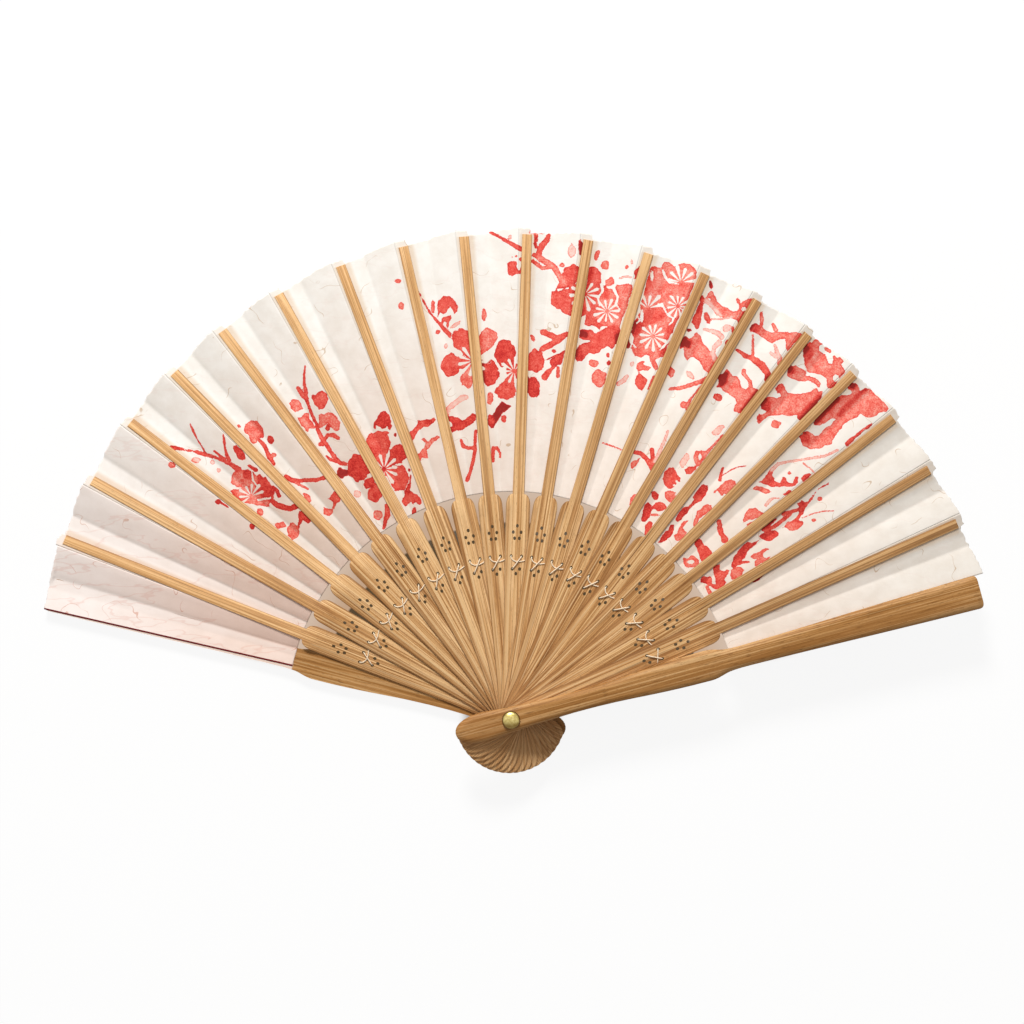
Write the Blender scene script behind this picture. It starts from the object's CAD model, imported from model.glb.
# %% [markdown]
# # A folding fan, dressed for its portrait
# The CAD model gives every stick, pleat and pin of the fan its true place. This lesson
# keeps those places and gives the fan its looks: split bamboo with its long fibres, thin
# paper with a plum branch printed on it, cotton stitches and a brass rivet.
# Nothing is moved. New pieces are modelled where the CAD says they are, and ride on the
# CAD bodies, so the fan still folds.

# %% Load the frame
import math

import bmesh
import bpy
import numpy as np
from mathutils import Matrix, Vector


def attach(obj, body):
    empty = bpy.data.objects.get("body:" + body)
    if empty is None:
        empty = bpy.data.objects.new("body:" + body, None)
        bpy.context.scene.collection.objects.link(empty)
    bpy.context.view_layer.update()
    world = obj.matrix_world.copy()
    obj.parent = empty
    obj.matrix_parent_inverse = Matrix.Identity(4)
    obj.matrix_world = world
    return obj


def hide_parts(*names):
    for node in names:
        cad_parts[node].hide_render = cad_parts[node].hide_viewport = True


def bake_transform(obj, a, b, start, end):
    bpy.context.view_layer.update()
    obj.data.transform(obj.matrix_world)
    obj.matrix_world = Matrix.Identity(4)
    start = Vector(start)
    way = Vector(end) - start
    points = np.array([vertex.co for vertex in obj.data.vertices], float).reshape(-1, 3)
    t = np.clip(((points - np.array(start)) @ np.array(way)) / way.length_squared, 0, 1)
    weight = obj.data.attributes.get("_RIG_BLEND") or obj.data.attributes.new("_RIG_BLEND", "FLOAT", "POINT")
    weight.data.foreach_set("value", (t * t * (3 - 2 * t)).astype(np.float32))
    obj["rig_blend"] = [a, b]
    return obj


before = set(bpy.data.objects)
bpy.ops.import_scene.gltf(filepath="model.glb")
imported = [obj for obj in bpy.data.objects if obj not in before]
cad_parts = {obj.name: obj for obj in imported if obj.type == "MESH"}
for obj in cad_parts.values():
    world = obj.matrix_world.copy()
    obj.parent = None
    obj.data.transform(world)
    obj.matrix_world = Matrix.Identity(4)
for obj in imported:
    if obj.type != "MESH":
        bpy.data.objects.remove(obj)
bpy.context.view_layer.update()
MM = 0.001

# %% [markdown]
# The sticks are numbered clockwise from the back guard at the left, 0, to the front guard
# at the right, 20. These are the CAD model's own directions and layer heights. Each stick
# lies on the one before it, so the stack climbs from left to right.

# %% Directions and heights of the sticks
BACK_GUARD_AT = 165.2
PITCHES = (6.8, 7.8, 8.3, 7.9, 7.6, 8.0, 8.1, 7.8, 7.3, 7.5,
           7.3, 7.3, 7.1, 6.9, 7.2, 7.1, 7.0, 7.4, 7.1, 8.4)
LAST = len(PITCHES)
STICKS = ["back_guard"] + [f"rib_{k:02d}" for k in range(1, LAST)] + ["front_guard"]
RIB_FROM_RIDGE = 0.95
GUARD_FROM_RIDGE = 1.9
RIB_THICK = 0.55 * MM
LAYER = 0.75 * MM
FIRST_RIB_Z = 3.6 * MM
FIRST_LEAF_STEP = 0.33 * MM
GUARD_THICK = 2.4 * MM
BACK_GUARD_Z = 1.0 * MM


def stick_angle(k):
    return BACK_GUARD_AT - sum(PITCHES[:k])


def from_ridge(k):
    return GUARD_FROM_RIDGE if k in (0, LAST) else RIB_FROM_RIDGE


def pleat_width(k):
    return stick_angle(k) + from_ridge(k) - stick_angle(k + 1) - from_ridge(k + 1)


def layer_z(k):
    return FIRST_RIB_Z - FIRST_LEAF_STEP if k == 0 else FIRST_RIB_Z + (k - 1) * LAYER


def in_place(k, z):
    """The matrix that turns a stick drawn along +X into stick k's direction, at height z."""
    return Matrix.Translation((0, 0, z)) @ Matrix.Rotation(math.radians(stick_angle(k)), 4, "Z")


widths = [pleat_width(k) for k in range(LAST)]
print("pleats from", round(min(widths), 2), "to", round(max(widths), 2), "degrees")

# %% [markdown]
# The photograph looks straight down on the fan. The shift between the lowest stick and the
# highest one gives the camera's height, and a long lens keeps the perspective weak.

# %% Camera
CAMERA_AT = Vector((0.38 * MM, 78.9 * MM, 940 * MM))
SENSOR_WIDE = 36
LENS = 85.2
camera_data = bpy.data.cameras.new("photo_camera")
camera_data.sensor_width = SENSOR_WIDE
camera_data.lens = LENS
camera = bpy.data.objects.new("photo_camera", camera_data)
camera.location = CAMERA_AT
bpy.context.scene.collection.objects.link(camera)
bpy.context.scene.camera = camera
bpy.context.scene.view_settings.view_transform = "Standard"
print("camera", tuple(round(c, 3) for c in camera.location))

# %% [markdown]
# A material is a tree of nodes, and its sums would be long to write node by node. So a
# node's output is wrapped as a wire: adding or multiplying wires places the Math node.
# `add` places any node, sets its own options, and fills or links its inputs.

# %% Wires and nodes


class Wire:
    """A node's output. What is computed with it becomes a Math node of the same tree."""

    def __init__(self, socket):
        self.socket = socket
        self.tree = socket.id_data

    def math(self, operation, *others):
        inputs = dict(enumerate((self, *others)))
        return wire(self.tree, "ShaderNodeMath", 0, inputs, operation=operation)

    def __add__(self, other):
        return self.math("ADD", other)

    def __sub__(self, other):
        return self.math("SUBTRACT", other)

    def __mul__(self, other):
        return self.math("MULTIPLY", other)

    def __truediv__(self, other):
        return self.math("DIVIDE", other)

    def __abs__(self):
        return self.math("ABSOLUTE")

    def __rsub__(self, other):
        inputs = {0: other, 1: self}
        return wire(self.tree, "ShaderNodeMath", 0, inputs, operation="SUBTRACT")


def plug(tree, value, socket):
    """Link a wire or a node's output into the socket, or set the socket's own value."""
    value = getattr(value, "socket", value)
    if isinstance(value, bpy.types.NodeSocket):
        tree.links.new(value, socket)
    else:
        socket.default_value = (*value, 1.0) if socket.type == "RGBA" else value


def add(tree, kind, inputs=None, **options):
    made = tree.nodes.new(kind)
    for name, value in options.items():
        setattr(made, name, value)
    for key, value in (inputs or {}).items():
        plug(tree, value, made.inputs[key])
    return made


def wire(tree, kind, output=0, inputs=None, **options):
    return Wire(add(tree, kind, inputs, **options).outputs[output])


def tree_of(*values):
    return next(value.tree for value in values if isinstance(value, Wire))


print("a wire can be added, multiplied and put into a socket")

# %% [markdown]
# These are the kinds of node that the finishes use most: a soft step, a colour ramp, a
# mix of two colours, noise, and vectors that are scaled, split or measured.

# %% Helpers for finishes


def srgb(r, g, b):
    """The linear colour of an sRGB colour given from 0 to 255."""
    shares = (r / 255, g / 255, b / 255)
    return tuple(c / 12.92 if c <= 0.04045 else ((c + 0.055) / 1.055) ** 2.4 for c in shares)


def smooth(value, low, high):
    """0 below low, 1 above high, with a soft step between."""
    inputs = {"Value": value, "From Min": low, "From Max": high}
    return wire(value.tree, "ShaderNodeMapRange", "Result", inputs, interpolation_type="SMOOTHSTEP")


def ramp(value, stops):
    made = add(value.tree, "ShaderNodeValToRGB", {"Fac": value})
    bar = made.color_ramp.elements
    while len(bar) < len(stops):
        bar.new(0.5)
    for element, (at, colour) in zip(bar, stops):
        element.position = at
        element.color = (*colour, 1.0)
    return Wire(made.outputs["Color"])


def mix(share, a, b, blend="MIX"):
    return wire(tree_of(share, a, b), "ShaderNodeMix", 2, {0: share, 6: a, 7: b},
                data_type="RGBA", blend_type=blend)


def noise(vector, detail=2.0, rough=0.5):
    inputs = {"Vector": vector, "Scale": 1.0, "Detail": detail, "Roughness": rough}
    return wire(vector.tree, "ShaderNodeTexNoise", 0, inputs)


def scaled(vector, factors, shift=(0, 0, 0)):
    factors = factors if isinstance(factors, tuple) else (factors,) * 3
    return wire(vector.tree, "ShaderNodeVectorMath", 0, {0: vector, 1: factors, 2: shift},
                operation="MULTIPLY_ADD")


def combine(*parts):
    return wire(tree_of(*parts), "ShaderNodeCombineXYZ", 0, dict(enumerate(parts)))


def split(vector):
    made = add(vector.tree, "ShaderNodeSeparateXYZ", {0: vector})
    return [Wire(socket) for socket in made.outputs]


def length(vector):
    return wire(vector.tree, "ShaderNodeVectorMath", "Value", {0: vector}, operation="LENGTH")


def object_place(tree):
    return wire(tree, "ShaderNodeTexCoord", "Object")


def named(tree, name, output="Fac"):
    return wire(tree, "ShaderNodeAttribute", output, attribute_name=name)


def new_group(name, inputs, outputs):
    """A shader node group from {socket: kind}: its tree, its input wires, its output node."""
    tree = bpy.data.node_groups.new(name, "ShaderNodeTree")
    for way, sockets in (("INPUT", inputs), ("OUTPUT", outputs)):
        for title, kind in sockets.items():
            tree.interface.new_socket(title, in_out=way, socket_type="NodeSocket" + kind)
    starts = tree.nodes.new("NodeGroupInput").outputs
    return tree, {title: Wire(starts[title]) for title in inputs}, tree.nodes.new("NodeGroupOutput")


def finish_group(tree, outs, **results):
    for title, value in results.items():
        plug(tree, value, outs.inputs[title])
    print(tree.name, "has", len(tree.nodes), "nodes")


def place_group(tree, group, inputs):
    made = add(tree, "ShaderNodeGroup", inputs, node_tree=group)
    return {socket.name: Wire(socket) for socket in made.outputs}


def start_material(material):
    material.use_nodes = True
    tree = material.node_tree
    tree.nodes.clear()
    shader = add(tree, "ShaderNodeBsdfPrincipled")
    add(tree, "ShaderNodeOutputMaterial", {"Surface": shader.outputs[0]})
    return tree, shader


def dress(shader, colour, roughness, height=None, distance=0.1 * MM, strength=0.6, **constants):
    """Feed a shader its colour, its roughness and a bump, and set its other sockets."""
    tree = shader.id_data
    values = {"Base Color": colour, "Roughness": roughness}
    if height is not None:
        inputs = {"Height": height, "Distance": distance, "Strength": strength}
        values["Normal"] = wire(tree, "ShaderNodeBump", 0, inputs)
    values.update({title.replace("_", " "): value for title, value in constants.items()})
    for title, value in values.items():
        plug(tree, value, shader.inputs[title])


print("helpers for finishes ready")

# %% [markdown]
# ## Floor and light
# The photograph has a bare white background, and the fan's own shade shows only in the
# gap between the leaf and the sticks' shoulders, and through the pierced holes. So the
# floor is a white sheet that is shown bright to the camera where it lies open, and in a
# brown shade where sticks cover it. How much of the sky a place on the floor sees, by
# ambient occlusion, tells the two apart, so the shade goes with the fan when it shuts.

# %% Floor
FLOOR_SIZE = 4.0
FLOOR_GREY = (0.86, 0.86, 0.86)
BRIGHT_SHARE = 0.88
OPEN_WHITE = (1.02, 1.02, 1.02)
HOLE_SHADE = (0.10, 0.065, 0.032)
GAP_SHADE_INSIDE = (0.60, 0.40, 0.26)
GAP_SHADE_OUTSIDE = (0.71, 0.545, 0.425)
HOLES_TO = 74.4 * MM
GAP_FROM = 75.4 * MM
GAP_TO = 88 * MM
OPEN_FROM = 95 * MM
OPEN_FULL = 115 * MM
UNDERSIDE_SLOPE = 0.2
UNDERSIDE_SOFT = 6 * MM
SHELL_INSIDE = 13 * MM
SHELL_OUTSIDE = 21 * MM
SHADE_REACH = 0.3
COVERED = 0.52
UNCOVERED = 0.70


def seen_directly(tree):
    """1 for what the camera sees straight, mirrored in metal or through glass."""
    rays = add(tree, "ShaderNodeLightPath").outputs
    seen = Wire(rays["Is Camera Ray"]).math("MAXIMUM", Wire(rays["Is Glossy Ray"]))
    return seen.math("MAXIMUM", Wire(rays["Is Transmission Ray"]))


white_sheet = bpy.data.materials.new("white_sheet")
tree, shader = start_material(white_sheet)
dress(shader, FLOOR_GREY, 0.9)
place = object_place(tree)
reach = length(place)
right, up, _ = split(place)
below = smooth(up - abs(right) * UNDERSIDE_SLOPE, UNDERSIDE_SOFT, 0.0)
below = below * smooth(reach, SHELL_INSIDE, SHELL_OUTSIDE)
sky_share = wire(tree, "ShaderNodeAmbientOcclusion", "AO", {"Distance": SHADE_REACH}, samples=16)
outside = smooth(reach, OPEN_FROM, OPEN_FULL).math("MAXIMUM", below)
outside = outside.math("MAXIMUM", smooth(sky_share, COVERED, UNCOVERED))
shade = mix(smooth(reach, HOLES_TO, GAP_FROM), HOLE_SHADE, GAP_SHADE_INSIDE)
shade = mix(smooth(reach, GAP_FROM, GAP_TO), shade, GAP_SHADE_OUTSIDE)
glow = add(tree, "ShaderNodeEmission", {"Color": mix(outside, shade, OPEN_WHITE), "Strength": 1.0})
both = add(tree, "ShaderNodeMixShader",
           {0: seen_directly(tree) * BRIGHT_SHARE, 1: shader.outputs[0], 2: glow.outputs[0]})
tree.links.new(both.outputs[0], tree.nodes["Material Output"].inputs["Surface"])

bpy.ops.object.select_all(action="DESELECT")
bpy.ops.mesh.primitive_plane_add(size=FLOOR_SIZE, location=(0, 0, 0))
floor = bpy.context.active_object
floor.name = "floor"
floor.data.materials.append(white_sheet)
print("floor", FLOOR_SIZE, "m")

# %% [markdown]
# Light comes from one large soft lamp above the top of the picture, a little to the left,
# and from a pale world all round, which the camera, metal and glass see as plain white.

# %% World and lamp
SKY = (1.0, 0.955, 0.90)
SKY_STRENGTH = 0.33
LAMP_AT = Vector((-0.20, 1.33, 1.0))
FAN_MIDDLE = Vector((0, 0.08, 0))
LAMP_SIZE = 0.42
LAMP_POWER = 27.0
LAMP_COLOUR = (1.0, 0.99, 0.975)

world = bpy.data.worlds.new("studio")
bpy.context.scene.world = world
world.use_nodes = True
sky = world.node_tree
sky.nodes.clear()
ambient = add(sky, "ShaderNodeBackground", {"Color": SKY, "Strength": SKY_STRENGTH})
backdrop = add(sky, "ShaderNodeBackground", {"Color": (1, 1, 1), "Strength": 1.0})
shown = add(sky, "ShaderNodeMixShader",
            {0: seen_directly(sky), 1: ambient.outputs[0], 2: backdrop.outputs[0]})
add(sky, "ShaderNodeOutputWorld", {"Surface": shown.outputs[0]})

key_data = bpy.data.lights.new("key", "AREA")
key_data.shape = "DISK"
key_data.size = LAMP_SIZE
key_data.energy = LAMP_POWER
key_data.color = LAMP_COLOUR
key = bpy.data.objects.new("key", key_data)
key.location = LAMP_AT
key.rotation_euler = (FAN_MIDDLE - LAMP_AT).to_track_quat("-Z", "Y").to_euler()
bpy.context.scene.collection.objects.link(key)
print("one lamp and a pale world")

# %% [markdown]
# ## Modelling helpers
# The sticks are modelled as by hand, in edit mode. `edit` opens one piece with nothing
# selected, `pick` selects corners, edges or faces by where their middles are, and `at`
# makes the test for a place.

# %% Edit mode helpers
SAME_PLACE = 0.02 * MM
WELD = 0.005 * MM


def object_mode():
    if bpy.context.mode != "OBJECT":
        bpy.ops.object.mode_set(mode="OBJECT")


def select_only(obj):
    object_mode()
    bpy.ops.object.select_all(action="DESELECT")
    obj.select_set(True)
    bpy.context.view_layer.objects.active = obj


def edit(obj):
    select_only(obj)
    bpy.ops.object.mode_set(mode="EDIT")
    bpy.ops.mesh.select_all(action="DESELECT")


def pick_all():
    bpy.ops.mesh.select_all(action="SELECT")


def pick(obj, kind, test):
    """Select the corners, edges or faces for which test(middle, part) is true."""
    bpy.ops.mesh.select_mode(type=kind)
    bpy.ops.mesh.select_all(action="DESELECT")
    bm = bmesh.from_edit_mesh(obj.data)
    parts = {"VERT": bm.verts, "EDGE": bm.edges, "FACE": bm.faces}[kind]
    found = 0
    for part in parts:
        corners = [part] if kind == "VERT" else part.verts
        middle = sum((v.co for v in corners), Vector()) / len(corners)
        if test(middle, part):
            part.select_set(True)
            found += 1
    bm.select_flush_mode()
    bmesh.update_edit_mesh(obj.data)
    return found


def extrude(x, y, z):
    bpy.ops.mesh.extrude_region_move(TRANSFORM_OT_translate={"value": (x, y, z)})


def move(x, y, z):
    bpy.ops.transform.translate(value=(x, y, z))


def bevel(width, segments, **options):
    bpy.ops.mesh.bevel(offset=width, segments=segments, affect="EDGES", **options)


def at(**place):
    """A test for what has its middle at the given x, y or z."""
    return lambda m, part: all(abs(getattr(m, axis) - value) < SAME_PLACE
                               for axis, value in place.items())


def new_piece(name, primitive, **options):
    """One of Blender's primitives, at its size, to be shaped in edit mode."""
    object_mode()
    bpy.ops.object.select_all(action="DESELECT")
    getattr(bpy.ops.mesh, f"primitive_{primitive}_add")(**options)
    made = bpy.context.active_object
    made.name = made.data.name = name
    return made


def link_piece(name, mesh):
    made = bpy.data.objects.new(name, mesh)
    bpy.context.scene.collection.objects.link(made)
    return made


def outwards(obj):
    """Weld the doubles and turn every face outwards."""
    edit(obj)
    pick_all()
    bpy.ops.mesh.remove_doubles(threshold=WELD)
    bpy.ops.mesh.normals_make_consistent(inside=False)
    object_mode()


def smooth_sides(obj, degrees=35):
    select_only(obj)
    bpy.ops.object.shade_smooth_by_angle(angle=math.radians(degrees))


def hermite(points, x):
    """A smooth line through (place, value) points, read at x."""
    xs = [p[0] for p in points]
    i = min(max(int(np.searchsorted(xs, x)) - 1, 0), len(points) - 2)
    (x0, y0), (x1, y1) = points[i], points[i + 1]
    before = points[max(i - 1, 0)]
    after = points[min(i + 2, len(points) - 1)]
    m0 = (y1 - before[1]) / (x1 - before[0])
    m1 = (after[1] - y0) / (after[0] - x0)
    h = x1 - x0
    t = min(max((x - x0) / h, 0.0), 1.0)
    return ((2 * t**3 - 3 * t**2 + 1) * y0 + (t**3 - 2 * t**2 + t) * h * m0
            + (3 * t**2 - 2 * t**3) * y1 + (t**3 - t**2) * h * m1)


print("edit helpers ready")

# %% [markdown]
# ## The sticks' outlines
# A rib has a round head past the rivet, a waist, a blade that widens to rounded
# shoulders, and a slim arm that carries the paper. A guard is the same idea, stouter, and
# widens again towards its tip. The outline is a list of stations, (distance from the
# rivet, half width), close together where the outline curves.

# %% Outlines
RIB_HEAD_REACH = 21.3 * MM
RIB_HEAD_WIDTH = 10.8 * MM
RIB_BLADE_END = 81.3 * MM
RIB_SHOULDER_LENGTH = 4.6 * MM
RIB_SHOULDER_ROUNDNESS = 2.4
RIB_BLADE_WIDTH = 9.3 * MM
RIB_ARM_WIDTH = 4.6 * MM
RIB_ARM_THICK = 0.32 * MM
RIB_TIP_AT = 185.5 * MM
RIB_TIP_WIDTH = 3.8 * MM
RIB_WAIST = ((0.0, 4.54), (24, 3.95), (40, 4.02), (50, 4.21), (60, 4.43), (70, 4.58))
RIB_PLACES = (-9.5, -6, -2, 2, 6, 11, 17, 24, 32, 40, 50, 60, 70, 76, 78, 79, 80)
GUARD_HEAD_REACH = 21.7 * MM
GUARD_HEAD_WIDTH = 11.2 * MM
GUARD_BLADE_END = 77.5 * MM
GUARD_BLADE_WIDTH = 11.6 * MM
GUARD_NECK_WIDTH = 8.2 * MM
GUARD_FLARE_START = 93.0 * MM
GUARD_TIP_AT = 185.0 * MM
GUARD_TIP_WIDTH = 12.9 * MM
GUARD_WAIST = ((0.0, 4.7), (24, 3.8), (40, 4.1), (50, 4.7), (58, 5.2), (68, 5.63))
GUARD_PLACES = (-9.7, -6, -2, 2, 6, 11, 17, 24, 32, 40, 45, 50, 55, 60, 65, 70, 74)
GUARD_NECK = ((79.5, 5.68), (82, 5.1), (84.5, 4.45), (88, 4.12))
GUARD_FLARE = ((110, 4.45), (140, 5.3), (165, 6.0))
FLARE_PLACES = (77.5, 79, 80.5, 82, 83.5, 85, 87, 90, 93, 98, 104, 110, 118,
                126, 134, 142, 150, 158, 166, 174, 180)
TIP_ROUND = ((1.8, 1.0), (1.0, 0.97), (0.45, 0.9), (0.12, 0.78), (0.0, 0.62))
TWIST_START = 78.0 * MM
TWIST_END = RIB_BLADE_END + RIB_SHOULDER_LENGTH
PLEAT_SLOPE = 0.2
HEAD_MIDDLE = -0.45
HEAD_ROUNDNESS = 2.3
CURVE_STEPS = 10
ARM_STEPS = 8


def in_mm(points):
    return [(x * MM, y * MM) for x, y in points]


def side_stations(points, places):
    return [(x * MM, hermite(points, x * MM)) for x in places]


def head_and_blade(reach, head_width, waist, end, blade_width, places):
    """The round end, a slightly squared half circle, and the sides up to the blade's end."""
    made = []
    for i in range(CURVE_STEPS):
        turn = math.radians(90 * (i + 0.35) / CURVE_STEPS)
        s = -1 + (1 + HEAD_MIDDLE) * (1 - math.cos(turn))
        across = 1 - abs((s - HEAD_MIDDLE) / (1 + HEAD_MIDDLE)) ** HEAD_ROUNDNESS
        made.append((s * reach, across ** (1 / HEAD_ROUNDNESS) * head_width / 2))
    line = [(HEAD_MIDDLE * reach, head_width / 2), *in_mm(waist), (end, blade_width / 2)]
    return made + side_stations(line, places)


def rib_outline():
    made = head_and_blade(RIB_HEAD_REACH, RIB_HEAD_WIDTH, RIB_WAIST, RIB_BLADE_END,
                          RIB_BLADE_WIDTH, RIB_PLACES)
    slim = RIB_ARM_WIDTH / 2
    for i in range(CURVE_STEPS):
        x = RIB_BLADE_END + RIB_SHOULDER_LENGTH * math.sin(math.radians(90 * i / CURVE_STEPS))
        s = (x - RIB_BLADE_END) / RIB_SHOULDER_LENGTH
        round_share = (1 - s**RIB_SHOULDER_ROUNDNESS) ** 0.5
        made.append((x, slim + (RIB_BLADE_WIDTH / 2 - slim) * round_share))
    for i in range(ARM_STEPS + 1):
        share = i / ARM_STEPS
        made.append((TWIST_END + share * (RIB_TIP_AT - TWIST_END),
                     (RIB_ARM_WIDTH + share * (RIB_TIP_WIDTH - RIB_ARM_WIDTH)) / 2))
    return made


def guard_outline():
    made = head_and_blade(GUARD_HEAD_REACH, GUARD_HEAD_WIDTH, GUARD_WAIST, GUARD_BLADE_END,
                          GUARD_BLADE_WIDTH, GUARD_PLACES)
    line = [(GUARD_BLADE_END, GUARD_BLADE_WIDTH / 2), *in_mm(GUARD_NECK),
            (GUARD_FLARE_START, GUARD_NECK_WIDTH / 2), *in_mm(GUARD_FLARE),
            (GUARD_TIP_AT, GUARD_TIP_WIDTH / 2)]
    made += side_stations(line, FLARE_PLACES)
    for inset, share in TIP_ROUND:
        x = GUARD_TIP_AT - inset * MM
        made.append((x, share * hermite(line, x)))
    return made


def twist_share(x):
    """0 on the flat blade, 1 where the stick lies on the slope of its pleat."""
    return min(1.0, max(0.0, (x - TWIST_START) / (TWIST_END - TWIST_START)))


print(len(rib_outline()), "rib stations and", len(guard_outline()), "guard stations")

# %% [markdown]
# A stick starts as a small grid at the end of its head. Its front edge is extruded from
# station to station and scaled to each width, as one would pull out a strip by hand, and
# the strip is then extruded upwards for its thickness.

# %% Draw a stick


def draw_stick(name, outline, thick):
    (x0, w0), (x1, w1) = outline[:2]
    obj = new_piece(name, "grid", x_subdivisions=1, y_subdivisions=2, size=1)
    edit(obj)
    pick_all()
    bpy.ops.transform.resize(value=(x1 - x0, 2 * w0, 1))
    move((x0 + x1) / 2, 0, 0)
    pick(obj, "VERT", lambda m, part: m.x > (x0 + x1) / 2)
    bpy.ops.transform.resize(value=(1, w1 / w0, 1), center_override=(x1, 0, 0))
    bpy.ops.mesh.select_mode(type="EDGE")
    for (xa, wa), (xb, wb) in zip(outline[1:], outline[2:]):
        extrude(xb - xa, 0, 0)
        bpy.ops.transform.resize(value=(1, wb / wa, 1), center_override=(xb, 0, 0))
    pick_all()
    extrude(0, 0, thick)
    pick_all()
    bpy.ops.mesh.normals_make_consistent(inside=False)
    object_mode()
    return obj


rib = draw_stick("rib_pattern", rib_outline(), RIB_THICK)
print("rib strip", len(rib.data.vertices), "corners")

# %% [markdown]
# A real fan's ribs are split from one board, thinned at the arm with a plane and pressed
# to the slope of the pleats. Here the arm's top face is lowered step by step along the
# shoulder, and every station past the shoulder is turned about the rib's middle line.

# %% Thin and tilt the arm
PLEAT_TILT = math.atan(PLEAT_SLOPE)

edit(rib)
for x, _ in rib_outline():
    thinned = min(1.0, (x - RIB_BLADE_END) / RIB_SHOULDER_LENGTH)
    if thinned > 0:
        pick(rib, "VERT", lambda m, part: at(x=x)(m, part) and m.z > RIB_THICK / 2)
        move(0, 0, thinned * (RIB_ARM_THICK - RIB_THICK))
    if twist_share(x) > 0:
        pick(rib, "VERT", at(x=x))
        bpy.ops.transform.rotate(value=-twist_share(x) * PLEAT_TILT, orient_axis="X",
                                 center_override=(x, 0, 0))
object_mode()
print("rib with its arm", tuple(round(d / MM, 1) for d in rib.dimensions), "mm")

# %% [markdown]
# The rims are eased with a small bevel, which catches the light along each edge. Then the
# two flowers are punched: five holes each, set wide below and close above, cut by one
# tool of joined pins. The bore for the rivet is cut the same way. The holes' walls keep
# the tool's material, a scorched brown.

# %% Ease the rims and punch the flowers
RIM_EASE = 0.13 * MM
RIM_TURN = 0.6
UPPER_FLOWER_AT = 71.2 * MM
LOWER_FLOWER_AT = 58.9 * MM
UPPER_HOLES = ((2.45, 0.0), (0.0, 1.5), (0.0, -1.5), (-2.35, 0.9), (-2.35, -0.9))
LOWER_HOLES = ((3.1, 2.0), (3.1, -2.0), (-1.8, 1.4), (-1.8, -1.4), (-3.6, 0.0))
HOLE_RADIUS = 0.56 * MM
HOLE_STRETCH = 1.25
BORE = (0, 0, 1.3 * MM, 1.0)
PIN_DEPTH = 6 * MM
RIB_LOOK = bpy.data.materials.new("split_bamboo")
GUARD_LOOK = bpy.data.materials.new("guard_bamboo")
SCORCHED = bpy.data.materials.new("scorched_hole")


def is_rim(m, part):
    faces = part.link_faces
    return len(faces) == 2 and abs(faces[0].normal.z - faces[1].normal.z) > RIM_TURN


def punch(obj, places, sides):
    """Cut upright holes at (x, y, radius, stretch along the stick) with one joined tool."""
    pins = []
    for x, y, radius, stretch in places:
        pin = new_piece("pin", "cylinder", vertices=sides, radius=radius, depth=PIN_DEPTH,
                        location=(x, y, 0))
        pin.scale = (stretch, 1, 1)
        pins.append(pin)
    for pin in pins:
        pin.select_set(True)
    bpy.ops.object.join()
    bpy.ops.object.transform_apply(location=True, rotation=True, scale=True)
    tool = bpy.context.active_object
    tool.data.materials.append(SCORCHED)
    trim = obj.modifiers.new("punch", "BOOLEAN")
    trim.operation = "DIFFERENCE"
    trim.solver = "EXACT"
    trim.material_mode = "TRANSFER"
    trim.object = tool
    select_only(obj)
    bpy.ops.object.modifier_apply(modifier=trim.name)
    bpy.data.objects.remove(tool, do_unlink=True)
    outwards(obj)


edit(rib)
rims = pick(rib, "EDGE", is_rim)
bevel(RIM_EASE, 2, clamp_overlap=True)
object_mode()
rib.data.materials.append(RIB_LOOK)
holes = [(flower_at + x * MM, y * MM, HOLE_RADIUS, HOLE_STRETCH)
         for flower_at, flower in ((UPPER_FLOWER_AT, UPPER_HOLES), (LOWER_FLOWER_AT, LOWER_HOLES))
         for x, y in flower]
punch(rib, holes + [BORE], 16)
smooth_sides(rib)
print(rims, "rim edges eased, rib has", len(rib.data.polygons), "faces")

# %% [markdown]
# ## The guards
# The guards carve the fan's outer faces: thick sticks whose outer side is chamfered along
# both edges and rounded over. The strip is drawn like a rib's, its outer face is inset
# and raised for the chamfer, and the two crown edges are rounded by a bevel. The side
# that the leaf lies on is pressed to the leaf's first and last folds.

# %% Guards
GUARD_CHAMFER_WIDE = 1.6 * MM
GUARD_CHAMFER_HIGH = 0.9 * MM
CROWN_ROUND = 0.55 * MM
LOWER_ROUND = 0.3 * MM
SOFT_BEND_AT = 2.6
SOFT_SLOPE_SHARE = 0.5
GLUE_GAP = 0.06 * MM
SIDE_THICK = GUARD_THICK - GUARD_CHAMFER_HIGH
TIP_CORNERS_FROM = 180.5 * MM
TIP_WELD = 1.2 * MM
HEAD_CORNERS_TO = -18.6 * MM
HEAD_WELD = 0.85 * MM
SHEET_ROOM = 0.12 * MM
FACES_UP = 0.9
NOT_FLAT = 0.95
UPRIGHT = 0.2
BACK_LEAF_LIFT = (FIRST_RIB_Z - FIRST_LEAF_STEP - (BACK_GUARD_Z + GUARD_THICK)
                  - 2 * GLUE_GAP - SHEET_ROOM)


def fold_height(r, phi):
    """The folded leaf's height at radius r, phi degrees past a ridge, above a rib's middle."""
    past_bend = SOFT_BEND_AT + SOFT_SLOPE_SHARE * (phi - SOFT_BEND_AT)
    fallen = np.where(phi <= SOFT_BEND_AT, phi, past_bend)
    return PLEAT_SLOPE * r * np.radians(RIB_FROM_RIDGE - fallen)


def leaf_side(x, y, lift):
    phi = GUARD_FROM_RIDGE - math.degrees(y / x)
    return twist_share(x) * (lift + float(fold_height(x, phi)))


def is_spine(m, part):
    """An edge along the middle line of the strip's top."""
    a, b = (v.co for v in part.verts)
    return (m.z > SIDE_THICK / 2 and abs(m.y) < SAME_PLACE and abs(a.y) < SAME_PLACE
            and len(part.link_faces) == 2 and abs(a.x - b.x) > SAME_PLACE)


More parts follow.
